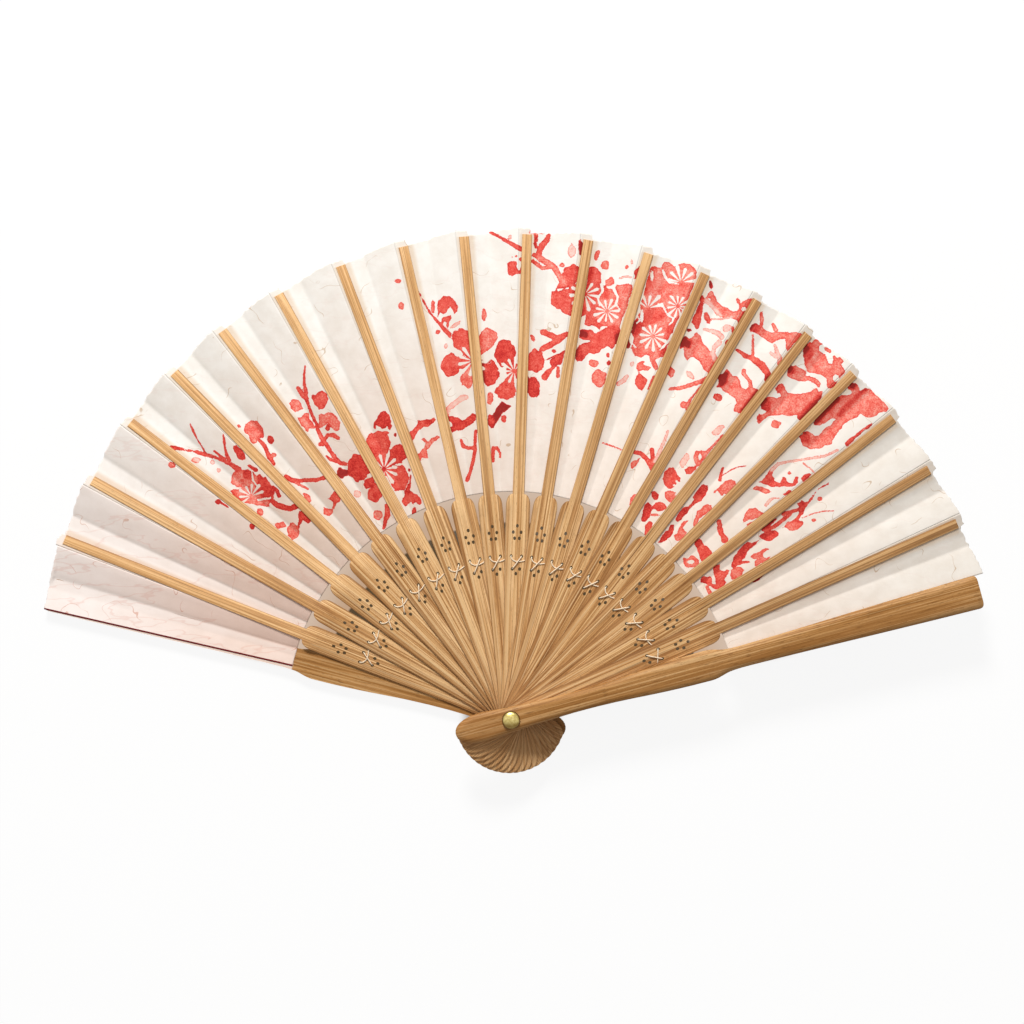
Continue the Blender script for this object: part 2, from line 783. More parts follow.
def leans(part, low, high):
    return any(low < abs(face.normal.z) < high for face in part.link_faces)


def draw_guard(name, up):
    """A guard with its leaf side at height 0 and its rounded side up (+1) or down (-1)."""
    obj = draw_stick(name, guard_outline(), SIDE_THICK)
    edit(obj)
    pick(obj, "EDGE", is_spine)
    bpy.ops.mesh.dissolve_edges(use_verts=True)
    pick(obj, "FACE", lambda m, part: part.normal.z > FACES_UP and m.z > SIDE_THICK / 2)
    bpy.ops.mesh.inset(thickness=GUARD_CHAMFER_WIDE, depth=GUARD_CHAMFER_HIGH)
    on_crown = at(z=GUARD_THICK)
    pick(obj, "VERT", lambda m, part: on_crown(m, part) and m.x > TIP_CORNERS_FROM)
    bpy.ops.mesh.remove_doubles(threshold=TIP_WELD)
    pick(obj, "VERT", lambda m, part: on_crown(m, part) and m.x < HEAD_CORNERS_TO)
    bpy.ops.mesh.remove_doubles(threshold=HEAD_WELD)
    lift = BACK_LEAF_LIFT if up < 0 else 0.0
    for x, half in guard_outline():
        if twist_share(x) == 0:
            continue
        bend = -x * math.radians(SOFT_BEND_AT - GUARD_FROM_RIDGE)
        for y, aside in ((0, bend), (half, 0), (-half, 0)):
            pick(obj, "VERT", at(x=x, y=y, z=0))
            move(0, aside, up * leaf_side(x, y + aside, lift))
    pick(obj, "EDGE", lambda m, part: on_crown(m, part) and leans(part, -1, NOT_FLAT))
    bevel(CROWN_ROUND, 3)
    pick(obj, "EDGE", lambda m, part: at(z=SIDE_THICK)(m, part)
         and leans(part, -1, UPRIGHT) and leans(part, UPRIGHT, 2))
    bevel(LOWER_ROUND, 2)
    object_mode()
    obj.data.materials.append(GUARD_LOOK)
    punch(obj, [BORE], 24)
    if up < 0:
        edit(obj)
        pick_all()
        bpy.ops.transform.resize(value=(1, 1, -1), center_override=(0, 0, 0))
        bpy.ops.mesh.normals_make_consistent(inside=False)
        object_mode()
    smooth_sides(obj, 40)
    return obj


front_guard = draw_guard("bamboo_front_guard", 1)
back_guard = draw_guard("bamboo_back_guard", -1)
for guard in (front_guard, back_guard):
    heights = [v.co.z / MM for v in guard.data.vertices]
    print(guard.name, "from", round(min(heights), 2), "to", round(max(heights), 2))

# %% [markdown]
# ## Setting the sticks in place
# Every stick carries a map of its own length and width in millimetres, so that the
# bamboo's fibres run along it wherever it points. It also carries a tone and a seed of
# its own, as the sticks come from different parts of the cane, and how near each point
# lies to the rim.

# %% Place the ribs and guards
TONES = (0.46, 0.54, 0.58, 0.60, 0.66, 0.70, 0.74, 0.64, 0.68, 0.70, 0.62,
         0.60, 0.56, 0.46, 0.36, 0.46, 0.44, 0.50, 0.42, 0.34, 0.46)
SEED_STEP = 3.7
FIRST_SEED = 1.3
LEAST_HALF = 0.5


def point_values(mesh, name, values):
    made = mesh.attributes.new(name, "FLOAT", "POINT")
    made.data.foreach_set("value", values.ravel().astype(np.float32))


def corner_points(mesh):
    """The number of the point at each corner of each face."""
    numbers = np.empty(len(mesh.loops), dtype=np.int32)
    mesh.loops.foreach_get("vertex_index", numbers)
    return numbers


def set_stick(obj, k, z, outline):
    mesh = obj.data
    place = np.empty(len(mesh.vertices) * 3)
    mesh.vertices.foreach_get("co", place)
    place = place.reshape(-1, 3) / MM
    fibre = mesh.uv_layers.new(name="fibre")
    fibre.data.foreach_set("uv", place[corner_points(mesh), :2].ravel())
    half = np.interp(place[:, 0] * MM, [x for x, _ in outline], [h / MM for _, h in outline])
    point_values(mesh, "rim", np.abs(place[:, 1]) / np.maximum(half, LEAST_HALF))
    point_values(mesh, "tone", np.full(len(place), TONES[k]))
    point_values(mesh, "seed", np.full(len(place), SEED_STEP * k + FIRST_SEED))
    mesh.transform(in_place(k, z))
    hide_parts(STICKS[k])
    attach(obj, STICKS[k])


for k in range(1, LAST):
    copy = link_piece(f"bamboo_rib_{k:02d}", rib.data.copy())
    copy.data.name = copy.name
    set_stick(copy, k, layer_z(k), rib_outline())
bpy.data.objects.remove(rib, do_unlink=True)
set_stick(back_guard, 0, BACK_GUARD_Z + GUARD_THICK, guard_outline())
set_stick(front_guard, LAST, layer_z(LAST), guard_outline())
print("19 ribs and 2 guards in place")

# %% [markdown]
# ## The leaf
# The leaf is one sheet of thin fibrous paper, folded twenty times over. A fold falls from
# its ridge under a rib, bends softly, lies nearly flat, turns at the valley and rises to
# the next ridge. It is drawn here pleat by pleat as a fine grid, since the print needs
# many points and the folds must nest when the fan shuts. Angles are in degrees past the
# ridge; `closed` is where a point lies once the fan is shut.

# %% The shape of a fold
LEAF_INNER = 86.7 * MM
LEAF_OUTER = 187.5 * MM
VALLEY_AT = 3.9
RISE_FROM = 4.4
RISE_KNOTS = 8
RISE_CURVE = 1.45
COLUMNS = 46
ROWS = 210
TAB_AND_SWELL = ((0, 0.4), (0.45, 0.4), (0.5, 0.4), (1.35, 0.4), (1.4, -1.5),
                 (3.9, -0.9), (4.4, -0.5))
SWELL_END = (0.5, 0.4)
GLUED_END = (-2.4, -0.6)
EDGE_ROUGH = 0.18
SAG = 0.10 * MM
FREE_FROM = 1.6
FREE_SOFT = 1.2


def fold_knots(k, r):
    """Where the fold bends, as arrays over r of degrees past the ridge, open and closed."""
    width = pleat_width(k)
    zero = np.zeros_like(r)
    valley = zero + VALLEY_AT
    rise = zero + RISE_FROM
    if k == 0:
        guard_half = np.interp(r, *zip(*guard_outline()))
        valley = GUARD_FROM_RIDGE + np.degrees(guard_half / r)
        rise = valley + RISE_FROM - VALLEY_AT
    opened = [zero, zero + SOFT_BEND_AT / 2, zero + SOFT_BEND_AT, valley]
    closed = list(opened)
    for i in range(RISE_KNOTS + 1):
        t = i / RISE_KNOTS
        opened.append(rise + t * (width - rise))
        closed.append(zero + SOFT_BEND_AT * (1 - t) ** RISE_CURVE)
    return np.stack(opened), np.stack(closed)


def ripple(x, y, seed, scale, waves=7):
    """A smooth random field, about -1 to 1, whose bumps are some `scale` across."""
    rng = np.random.default_rng(seed)
    total = np.zeros_like(x)
    for _ in range(waves):
        way = rng.uniform(0, 2 * math.pi)
        pitch = 2 * math.pi / (scale * rng.uniform(0.6, 1.8))
        total += np.sin(pitch * (x * math.cos(way) + y * math.sin(way)) + rng.uniform(0, 6.3))
    return total / waves**0.5


def outer_radius(k, theta):
    """The outer edge: a pale tab past each rib's tip, a step back, then a slow swell."""
    width = pleat_width(k)
    if k == 0:
        flat = np.interp(theta, [0, width], GLUED_END)
    else:
        line = TAB_AND_SWELL + ((width - 0.25, SWELL_END[0]), (width, SWELL_END[1]))
        flat = np.interp(theta, *zip(*line))
    rough = EDGE_ROUGH * ripple(theta * 3, theta * 0 + k * 5.0, 40 + k, 2.0)
    return LEAF_OUTER + (flat + rough) * MM


def leaf_points(k):
    """Pleat k as rows x columns of points, and how far each follows stick k + 1."""
    width = pleat_width(k)
    theta_edge = np.linspace(0, 1, COLUMNS + 1) * width
    row = np.linspace(0, 1, ROWS + 1)[:, None]
    r = LEAF_INNER + row * (outer_radius(k, theta_edge) - LEAF_INNER)
    opened, shut = fold_knots(k, r.mean(axis=1))
    theta = np.broadcast_to(theta_edge, r.shape).copy()
    closed = np.stack([np.interp(theta[i], opened[:, i], shut[:, i]) for i in range(ROWS + 1)])
    share = (theta - closed) / width
    z = layer_z(k) + fold_height(r, closed) - GLUE_GAP + share * (layer_z(k + 1) - layer_z(k))
    free = np.clip(np.minimum(theta - FREE_FROM, width - theta) / FREE_SOFT, 0, 1)
    sag = 0.5 + 0.5 * ripple(r / MM * 0.25, theta * 2.2, 7 + k, 6.0)
    z -= np.clip(sag, 0, 1.4) * free * SAG
    angle = np.radians(stick_angle(k) + from_ridge(k) - theta)
    return np.stack([r * np.cos(angle), r * np.sin(angle), z], axis=-1), theta, share


print("a pleat is a grid of", COLUMNS, "by", ROWS)

# %% [markdown]
# A sheet of paper has a thickness, and the export wants closed pieces. So the grid of
# points is the top, a copy of it a tenth of a millimetre below is the underside, and a
# band of faces joins them all round.

# %% A sheet from a grid of points
LEAF_THICK = 0.1 * MM


def sheet_mesh(name, points, thick):
    count = points.shape[0] * points.shape[1]
    top = np.arange(count).reshape(points.shape[:2])
    low = top + count
    corners = [(slice(0, -1), slice(0, -1)), (slice(1, None), slice(0, -1)),
               (slice(1, None), slice(1, None)), (slice(0, -1), slice(1, None))]
    upper = np.stack([top[corner] for corner in corners], -1).reshape(-1, 4)
    under = np.stack([low[corner] for corner in corners], -1).reshape(-1, 4)
    rim = np.concatenate([top[0, :-1], top[:-1, -1], top[-1, :0:-1], top[:0:-1, 0]])
    after = np.roll(rim, -1)
    side = np.stack([rim, after, after + count, rim + count], -1)
    faces = np.concatenate([upper, under[:, [0, 3, 2, 1]], side])
    lower = points - np.array([0, 0, thick])
    mesh = bpy.data.meshes.new(name)
    mesh.from_pydata(np.concatenate([points, lower]).reshape(-1, 3).tolist(), [], faces.tolist())
    mesh.update()
    return mesh


print("the paper is", LEAF_THICK / MM, "mm thick")

# %% [markdown]
# ## The print
# The plum branch is printed in one red, laid on like watercolour. It is drawn here in the
# picture's own steps, 1024 across, right and down from the top left corner, and every
# point of the leaf knows where it falls in that picture. A letter gives a shape's tone: L
# pale, C coral, M middle red, D deep, W wine.

# %% Where a point of the leaf falls in the picture
STEP = 0.3877 * MM
PICTURE_MIDDLE = 512.0
TONE = {"L": 0.08, "C": 0.38, "M": 0.62, "D": 0.82, "W": 0.98}


def in_picture(points):
    scale = STEP * (CAMERA_AT.z - points[..., 2]) / CAMERA_AT.z
    return (PICTURE_MIDDLE + (points[..., 0] - CAMERA_AT.x) / scale,
            PICTURE_MIDDLE - (points[..., 1] - CAMERA_AT.y) / scale)


print("one step of the picture is", round(STEP / MM, 4), "mm")

# %% [markdown]
# The shapes are written as short lists. A letter gives the tone and starts a shape, and
# the points after it are right and down. A wash is a closed outline round a petal, a bud
# or a length of bark.

# %% Washes
WASHES = """
C 803,350 806,345 810,341 812,343 815,339 819,338 822,341 823,344 820,346 819,350 822,353 825,354
827,358 829,363 832,364 834,360 832,356 834,354 837,358 840,357 844,361 841,364 843,368 846,372
842,376 838,381 835,386 831,390 828,388 827,384 826,379 823,375 818,374 812,373 807,372 806,366
805,360 804,355
C 824,347 828,347 832,351 831,354 828,352 825,350
C 787,373 788,369 792,366 796,365 799,368 803,369 807,371 806,375 812,377 818,379 821,384 819,387
815,384 809,381 803,381 797,381 792,379 788,376
C 768,396 777,398 781,396 779,392 776,389 778,385 781,383 784,386 786,390 789,393 796,394 804,393
810,392 814,389 816,387 819,391 823,391 821,397 816,402 809,409 803,416 801,420 798,417 797,415
790,416 780,415 769,416 765,419 762,422 759,424 757,422 758,418 759,415 763,414 766,412 764,409
762,406 765,399
C 848,387 850,384 852,382 856,383 860,388 860,391 863,390 866,388 869,388 872,391 877,395 882,400
886,404 889,408 887,412 881,412 877,415 873,418 870,418 867,417 861,414 858,417 852,419 848,422
843,425 842,428 839,430 837,434 833,440 832,444 825,446 818,449 809,449 803,445 801,441 800,437
803,432 808,431 812,433 815,436 819,435 825,429 832,423 836,419 832,418 828,421 823,424 820,426
814,425 814,422 821,414 830,405 836,398 841,395 847,395 851,394 852,392 848,389
M 845,444 847,440 852,437 857,433 863,428 868,425 874,423 869,428 862,433 855,439 850,445 847,447
C 750,331 751,327 753,325 756,328 759,329 760,320 760,312 763,311 764,318 763,327 766,331 772,332
780,332 790,332 797,332 801,333 802,335 798,340 793,346 788,352 786,348 786,344 785,339 781,339
777,341 773,343 768,342 764,338 760,336 755,333
C 706,297 708,294 710,291 713,292 715,296 717,301 721,305 727,308 733,311 738,311 740,308 739,304
736,301 736,299 738,297 740,299 741,303 744,301 748,299 752,298 755,300 752,305 749,310 745,311
747,313 743,319 740,325 738,323 736,320 733,318 728,318 724,318 719,314 715,310 712,305 710,299
M 696,310 699,303 700,298 703,294 704,298 703,304 703,310 702,316 701,322 699,328 696,329 694,325
691,322 693,316 695,313
C 694,333 697,332 700,335 702,340 705,345 709,350 713,353 716,358 718,361 715,366 711,371 709,376
707,373 704,369 701,364 697,359 692,357 689,359 687,361 685,357 684,351 683,348 680,349 680,346
683,341 686,336 690,338 693,337
C 727,368 730,372 733,376 737,376 739,379 740,384 742,388 746,389 749,388 749,384 747,380 744,377
741,374 741,370 743,368 746,369 746,373 749,377 752,381 753,386 755,388 759,390 756,395 750,402
744,410 741,414 738,413 734,411 735,406 737,403 735,399 731,395 727,393 723,391 720,387 717,385
719,380 722,375 725,370
C 643,297 646,284 650,268 655,266 661,268 664,262 669,262 674,266 679,264 684,263 690,264 694,267
697,272 697,277 692,290 685,306 678,320 670,335 663,352 660,358 656,360 658,368 655,371 652,366
649,356 646,354 641,358 635,356 631,347 634,338 631,333 634,322 640,312 641,303
M 646,311 650,308 655,305 660,308 664,312 667,315 663,319 658,322 652,324 646,325 642,322 644,316
D 634,322 638,319 642,322 645,326 642,330 639,334 636,337 631,333 632,327
M 633,276 635,270 639,266 641,265 641,270 638,276 636,281
C 592,296 598,290 606,287 614,289 619,296 621,306 621,318 617,328 606,327 596,322 590,316 588,305
M 560,280 564,268 572,264 579,266 584,273 588,268 594,266 601,273 602,284 598,292 601,300 598,310
588,314
580,318 570,316 562,312 556,304 552,296 556,288
C 232,476 240,470 250,472 258,476 266,478 274,488 274,498 268,506 255,505 240,502 231,494 236,487
M 560,279 562,273 566,268 570,265 576,265 579,268 579,275 577,282 574,284 569,287 565,287 561,283
M 589,279 590,268 594,266 598,268 601,273 601,278 598,284 595,287 591,284
M 585,320 586,313 590,310 591,307 595,307 597,311 596,316 599,320 601,325 600,330 597,328 592,325
588,327 585,324
C 616,284 620,285 624,284 628,283 632,285 633,290 630,297 628,305 624,315 621,322 620,328 617,330
612,326 616,321 619,315 619,308 615,306 613,302 614,297 618,294 616,290
M 580,329 586,329 592,330 596,334 600,331 605,328 610,326 614,325 619,327 621,330 618,338 615,346
612,348 607,347 602,349 599,353 594,354 589,353 585,357 582,361 577,362 575,358 577,350 579,345
584,343 590,341 587,340 582,340 579,338
D 551,366 549,362 552,358 556,355 561,352 565,350 564,357 562,364 557,366 553,369 550,370
C 637,363 641,361 646,361 643,364 647,366 651,367 648,371 643,370 638,371 636,368
M 639,373 642,375 646,378 648,380 645,386 642,391 638,389 635,384 635,378 637,375
M 507,263 510,261 516,261 518,263 517,267 518,270 521,269 521,274 518,274 514,275 512,277 509,275
507,271
M 437,306 438,301 441,298 444,296 449,296 453,298 456,302 458,306 457,311 454,314 452,310 450,306
448,309 446,314 443,314 440,312 438,316
M 442,317 447,316 451,315 451,318 449,324 448,328 446,326 447,323 444,321 443,325 441,324
D 377,419 379,413 382,411 386,411 389,415 391,421 392,427 390,431 388,428 387,426 385,428 382,429
379,427 376,425 375,430 373,427 374,423
M 402,501 404,496 407,492 411,491 414,494 417,494 420,497 422,503 420,505 416,502 413,505 411,502
408,505 405,507
C 289,403 292,399 298,399 301,403 303,409 300,411 295,412 291,408
C 297,417 301,417 304,413 309,413 310,419 314,424 316,428 312,429 309,428 308,432 305,430 300,424
M 312,397 315,395 318,392 322,390 326,393 329,399 327,404 323,409 319,410 316,406 313,401
C 318,415 321,413 324,415 328,412 333,413 337,417 340,423 340,429 337,431 333,430 330,426 328,423
324,426 320,429 318,427 319,421
M 409,431 413,430 416,426 418,422 417,420 424,420 430,419 434,417 436,420 432,424 428,427 424,427
419,430 416,435 413,441 410,437
C 421,439 424,438 428,441 432,438 437,435 440,437 437,440 432,443 430,448 427,450 428,456 429,459
426,458 422,457 420,463 418,460 417,454 420,451 424,448 425,443
D 447,416 452,416 458,418 463,420 468,417 472,413 476,413 476,420 472,424 467,427 462,430 456,431
452,434 450,430 450,427 454,426 450,422 447,420
W 488,416 492,415 496,409 500,403 502,401 507,404 511,406 507,410 502,415 498,421 494,428 491,428
488,424
C 231,477 233,472 238,470 243,470 248,474 250,480 246,485 241,487 236,487 231,483
D 257,475 260,474 263,478 266,476 268,481 266,484 270,485 274,490 275,494 271,498 266,499 261,497
257,493 255,487 257,482
C 230,491 234,488 239,487 244,487 252,490 256,494 262,499 269,503 270,507 266,507 260,505 252,504
244,503 239,499 234,496
D 233,446 236,445 240,448 245,454 246,459 242,461 237,457 234,451
C 243,430 245,424 250,421 256,421 261,427 263,434 260,438 257,439 257,443 253,444 250,441 249,437
D 299,511 303,511 307,516 311,521 308,524 303,520 300,524 299,530 297,527 298,518
C 287,528 290,524 289,522 294,523 298,527 300,533 297,538 292,540 288,536
C 274,525 277,522 283,522 287,526 283,528 278,529
M 325,499 330,497 334,492 337,491 341,497 340,501 337,503 334,509 332,508 333,502 330,500
C 323,506 327,508 333,509 333,513 329,516 324,514
C 631,468 631,463 635,460 640,458 638,463 634,468 632,470
M 662,479 665,472 669,467 673,467 676,471 678,475 681,478 680,482 677,482 676,486 672,489 668,489
664,484
L 679,463 682,458 686,453 689,455 690,459 686,464 683,468 680,466
C 693,457 696,451 701,450 706,451 711,446 717,440 724,433 726,433 720,440 713,447 709,453 704,459
700,465 697,467 695,463
M 684,470 688,467 694,466 698,464 696,470 691,474 686,474
C 665,492 668,490 672,491 676,493 679,495 676,499 672,504 668,501 665,497
D 693,498 696,492 700,486 704,484 708,485 708,490 705,496 701,501 697,502
C 629,506 630,499 634,494 639,493 638,499 633,506
D 641,518 643,512 645,505 648,502 651,505 652,511 650,517 646,522 641,521
M 652,508 655,503 660,501 665,504 667,508 663,511 658,511
M 644,532 645,526 649,521 653,523 652,528 648,535 645,536
D 675,520 678,514 682,508 686,506 690,508 686,514 681,520 677,522
C 695,518 697,511 702,507 707,504 712,505 712,509 706,514 700,518 697,524 694,529 693,524
D 658,543 661,537 665,532 668,530 670,525 674,524 674,530 671,536 667,540 661,543
C 674,536 678,530 680,526 684,521 689,520 687,523 683,528 685,531 688,532 684,537 679,541 675,540
M 694,544 697,541 700,538 702,541 704,545 708,547 713,553 710,556 706,560 702,562 699,556 697,549
C 714,491 718,488 721,485 725,481 731,479 735,481 737,486 733,491 728,495 724,494 723,498 720,494
717,491 714,494
L 712,433 714,429 718,426 724,424 725,427 721,432 717,436 713,435
M 759,482 764,478 768,473 771,468 774,468 773,475 775,481 780,483 783,477 786,478 788,482 793,484
795,477 799,476 798,483 795,487 788,486 780,487 773,487 766,485
C 753,489 757,486 763,487 768,489 772,492 766,494 761,492
M 801,478 804,474 810,473 812,474 808,479 803,482
M 783,494 787,491 792,490 790,494 785,496
C 743,520 745,513 749,509 755,508 761,511 764,514 760,518 756,518 752,520 748,520 744,522
M 829,482 825,485 820,487 815,492 811,498 807,502 804,503 802,500 797,504 799,507 799,513 796,518
790,522 785,525 782,528 786,528 791,529 794,531 799,529 803,524 803,521 799,520 801,516 805,512
806,508 809,504 813,499 816,493 820,489 825,486 830,486
D 760,536 763,533 768,530 775,530 779,533 777,537 772,541 765,541 762,539
D 731,564 733,558 738,551 743,545 748,542 752,543 757,541 760,539 755,545 750,549 746,555 742,561
738,566 735,569 732,567
C 730,576 732,570 736,566 741,567 745,570 742,575 738,579 732,580
C 749,558 752,555 757,553 762,550 769,548 770,550 764,552 763,556 767,558 771,556 769,559 764,562
759,565 755,567 755,562 757,559 753,559
M 713,570 717,567 720,564 720,570 724,571 727,569 730,570 727,575 725,580 727,583 722,587 717,590
713,588 709,586 706,583 701,583 700,580 704,577 710,576 712,578 712,583 715,584 715,578 714,573
"""

# %% [markdown]
# The strokes follow twigs, stalks and streaks of colour: right, down and width.

# %% Strokes
STROKES = """
D 819,397,5 810,407,6 800,417,6
D 839,415,4 848,405,5 858,396,4 866,389,3
D 816,423,5 826,411,6 838,399,5
C 773,324,3 776,330,4.5
L 775,345,2.5 777,352,4 780,358,4.5 779,364,3.5
L 771,353,3 776,357,3
D 746,313,4 742,319,4 739,324,3
L 706,300,5 712,306,4 718,313,4 721,316,2
L 712,319,1.5 722,319,1.5 732,317,1.5
D 717,362,4 712,370,4 709,375,3
D 757,391,4 750,400,4.5 742,410,3.5
M 737,350,3 743,354,4 750,358,5 757,361,7 763,367,8 768,373,6 766,380,4
L 704,329,2.5 712,331,4 718,333,5 722,337,5
L 719,343,6 714,347,4 713,353,4 716,360,5
C 753,335,2 753,345,2.5 753,358,3
C 670,389,3 680,388,4 690,385,4 700,382,5 707,379,6
C 706,381,2 698,390,2 692,397,2 688,404,4 687,409,3
M 675,318,6 670,330,7 666,342,7 662,355,5
M 571,300,5 571,312,3
L 620,278,2 627,276,2 634,278,2
M 543,332,6 549,334,6 556,338,6 562,337,6 567,334,5
M 542,349,6 548,346,6 555,342,6 560,340,5
D 546,360,1 552,357,1.5 557,355,2
M 551,369,4 547,374,6 545,377,7
M 558,368,3 558,376,4
C 648,389,1.5 652,381,3 654,376,2
L 618,384,4 624,380,5 627,376,3
M 490,232,2.5 500,237,3 510,243,4 521,249,5
M 549,235,4 547,240,5 543,244,6 540,249,6 539,254,5
M 535,243,3.5 536,247,3
C 534,255,4 540,258,6 546,262,6 552,265,6 556,270,6 560,277,6 564,284,6
C 533,261,4 538,265,4 542,268,3.5 549,267,4 553,266,5
M 418,291,1.5 430,313,2 437,321,3 444,329,4 451,336,5
D 409,477,5 408,485,5 407,492,6
M 305,366,1.5 304,375,2.5 304,384,3 306,392,4 306,398,4 309,407,3 312,415,3 316,423,3 318,430,4
321,437,4.5 326,444,4 331,452,4 336,459,4.5 340,463,4 346,464,4
M 298,388,4 302,394,5 306,398,5
M 306,417,3 311,424,3
M 324,440,3 328,435,4 333,435,4.5 338,438,4
M 326,456,2 331,460,3 336,461,4
L 447,414,4 449,408,5 455,403,5 462,398,6 466,397,5
M 476,431,3 475,440,3 475,450,3.5 473,462,3.5 470,472,3.5 467,480,4
M 461,440,3 463,446,4 468,448,3.5 475,448,4
M 493,448,4 493,455,3.5 493,461,3.5
M 493,448,3.5 497,448,3 500,453,2.5 500,457,2
M 171,447,3 176,448,4 185,450,2 193,451,2 200,453,4 207,455,3.5 214,457,3 222,460,3 230,464,4
238,469,6
M 190,424,1.5 193,431,2.5 197,439,1.3 202,447,1.3 206,454,2
M 214,451,2 219,455,2.5 225,459,2.5
M 223,434,1.5 224,441,3 225,449,2 227,456,4 229,461,4
M 256,422,3 261,429,4 262,436,4
M 259,440,3 264,445,4 267,452,4 270,458,5 274,464,3
M 286,477,5 291,480,5 298,481,4 307,480,4 316,480,4 327,477,4
C 296,483,2.5 302,486,2.5 308,489,2
D 249,466,3 256,470,4
D 270,500,4 277,505,6 283,507,6 290,509,5 297,506,6
D 273,487,3 277,491,4 279,496,4
D 218,501,3 228,507,1.5
M 387,506,4 387,515,6 385,522,4 384,528,3
M 634,452,4 640,453,4.5 646,458,4.5 650,464,5 652,470,3
M 652,450,5 653,456,4 652,463,5 651,467,4
L 668,431,2 665,440,3 661,448,3 658,456,4 655,461,4
M 690,507,2.5 695,502,4 700,498,5
M 719,522,5 720,528,5 722,535,5 725,540,7
M 723,468,2.5 721,474,3 720,480,3.5
M 723,475,1 731,470,1.2 738,467,1 746,466,1
L 772,470,4 778,464,3 786,462,2 800,460,2 825,456,2.5 838,450,2
L 803,463,1.5 811,469,1.5 815,473,1
L 766,505,3 770,500,3 774,498,1.5 780,498,1
C 748,525,2.5 754,522,2.5
M 783,514,3 790,512,4 797,510,3
D 763,530,3 770,524,3 776,519,2
M 766,531,4 775,526,4 783,520,4 790,514,4
M 738,564,3 744,562,2.5 749,562,2
C 707,587,3 710,593,4
W 753,582,1.5 758,579,3 763,575,1.5
C 802,518,1 815,513,1 825,511,1 834,511,0.8
C 603,443,1.5 612,446,1.5 622,450,1.5
"""

# %% [markdown]
# The dabs are ovals: right, down, width, height and, where one leans, its turn in degrees.
# The gaps are ovals of bare paper inside a wash, and the pale lines part the petals. A
# letter starts these too, though bare paper has no tone.

# %% Dabs and gaps
DABS = """
D 808,352,10,16 791,370,8,9 766,405,10,14 760,418,6,8 806,438,9,11 853,386,8,7 755,328,11,9
711,285,4,8 767,378,4,8
M 806,362,4,10 780,388,8,10 707,318,6,12,-20 728,343,6,7 718,397,9,8 560,299,20,20 604,292,12,13
554,351,5,4
C 776,424,9,9 733,330,3,8 684,405,8,7 671,372,7,11 587,304,6,9 598,301,5,8 610,282,9,9
533,338,4,8,-25 594,363,10,8
W 686,343,11,12 723,379,10,18,30 628,344,5,9 584,334,9,9 617,338,6,14
L 727,328,8,8 690,375,5,11,-40 632,364,4,5 572,251,8,14 632,262,3,6
D 689,330,6,3 579,354,8,12 609,363,5,6 581,248,6,16
C 599,378,15,18 597,255,5,11,15 605,265,8,10 562,265,5,5 627,267,4,4
M 608,355,4,5 521,270,2,8 536,236,5,5 536,240,4,4 438,332,5,5 385,433,9,4 375,494,13,16 321,444,7,6
L 510,237,3.5,4.5 537,231,16,8 455,325,12,4,-35 446,346,4,5 357,494,7,8 196,460,9,6 212,462,5,5
219,470,5,5
C 512,257,2,2 516,256,3,3 521,259,4,4 433,307,4,14 484,315,5,14 490,398,6,14 398,281,7,5 401,306,6,8
W 395,435,3,4 409,470,3,4 342,473,11,10
D 414,512,5,10 314,397,5,6 328,428,5,7 428,422,8,6 491,421,7,12 369,483,12,9 376,495,7,9
C 378,515,10,10 174,449,5,4 172,465,8,6 239,426,5,3,30 273,455,6,5 307,498,7,12,-35 260,512,7,8
655,515,10,3
M 504,419,5,9,-20
D 248,474,10,10 270,440,8,8 218,502,6,6 252,526,6,6 655,495,7,10 698,543,7,8 704,580,8,7 716,569,6,8
802,508,7,13
C 790,473,4,4 793,526,14,9 814,520,5,4 820,499,5,5 691,562,16,12
"""
GAPS = """
C 836,378,6,7 744,309,5,4 700,457,3,6 691,562,7,4 642,316,3,12 652,276,3,11
"""
PALE_LINES = """
C 637,309,2 632,318,2 630,324,1.5
C 637,315,1.5 640,320,2 637,323,1.5
C 658,304,1.5 664,307,2 666,312,2 669,316,2 674,318,1.5 672,322,2 669,325,1
C 663,270,2 665,276,2.5 669,282,2 680,284,1
C 620,273,2 629,273,3 634,276,3 632,280,1.5
C 613,285,2 615,292,2.5 618,297,2 616,304,2 620,310,1.5
C 601,284,2 603,290,2 598,298,1.5 600,306,1.5
C 580,268,2 581,276,2 576,284,1.5
C 629,330,1.5 631,342,2 636,348,1.5
C 660,350,1.5 668,342,2 672,334,1.5
C 568,288,1 558,290,2
C 578,312,1.5 579,320,2
C 252,473,1 253,480,2 257,486,1.5
C 233,488,2 241,488,1.5
C 258,500,2 270,498,2
"""

# %% [markdown]
# Three open blossoms, from back to front: the middle, then the petals as dabs, each with
# its tone. The eyes of all eleven blossoms follow: the middle, how far the stamens reach,
# and the way and the spread, in degrees, of their fan.

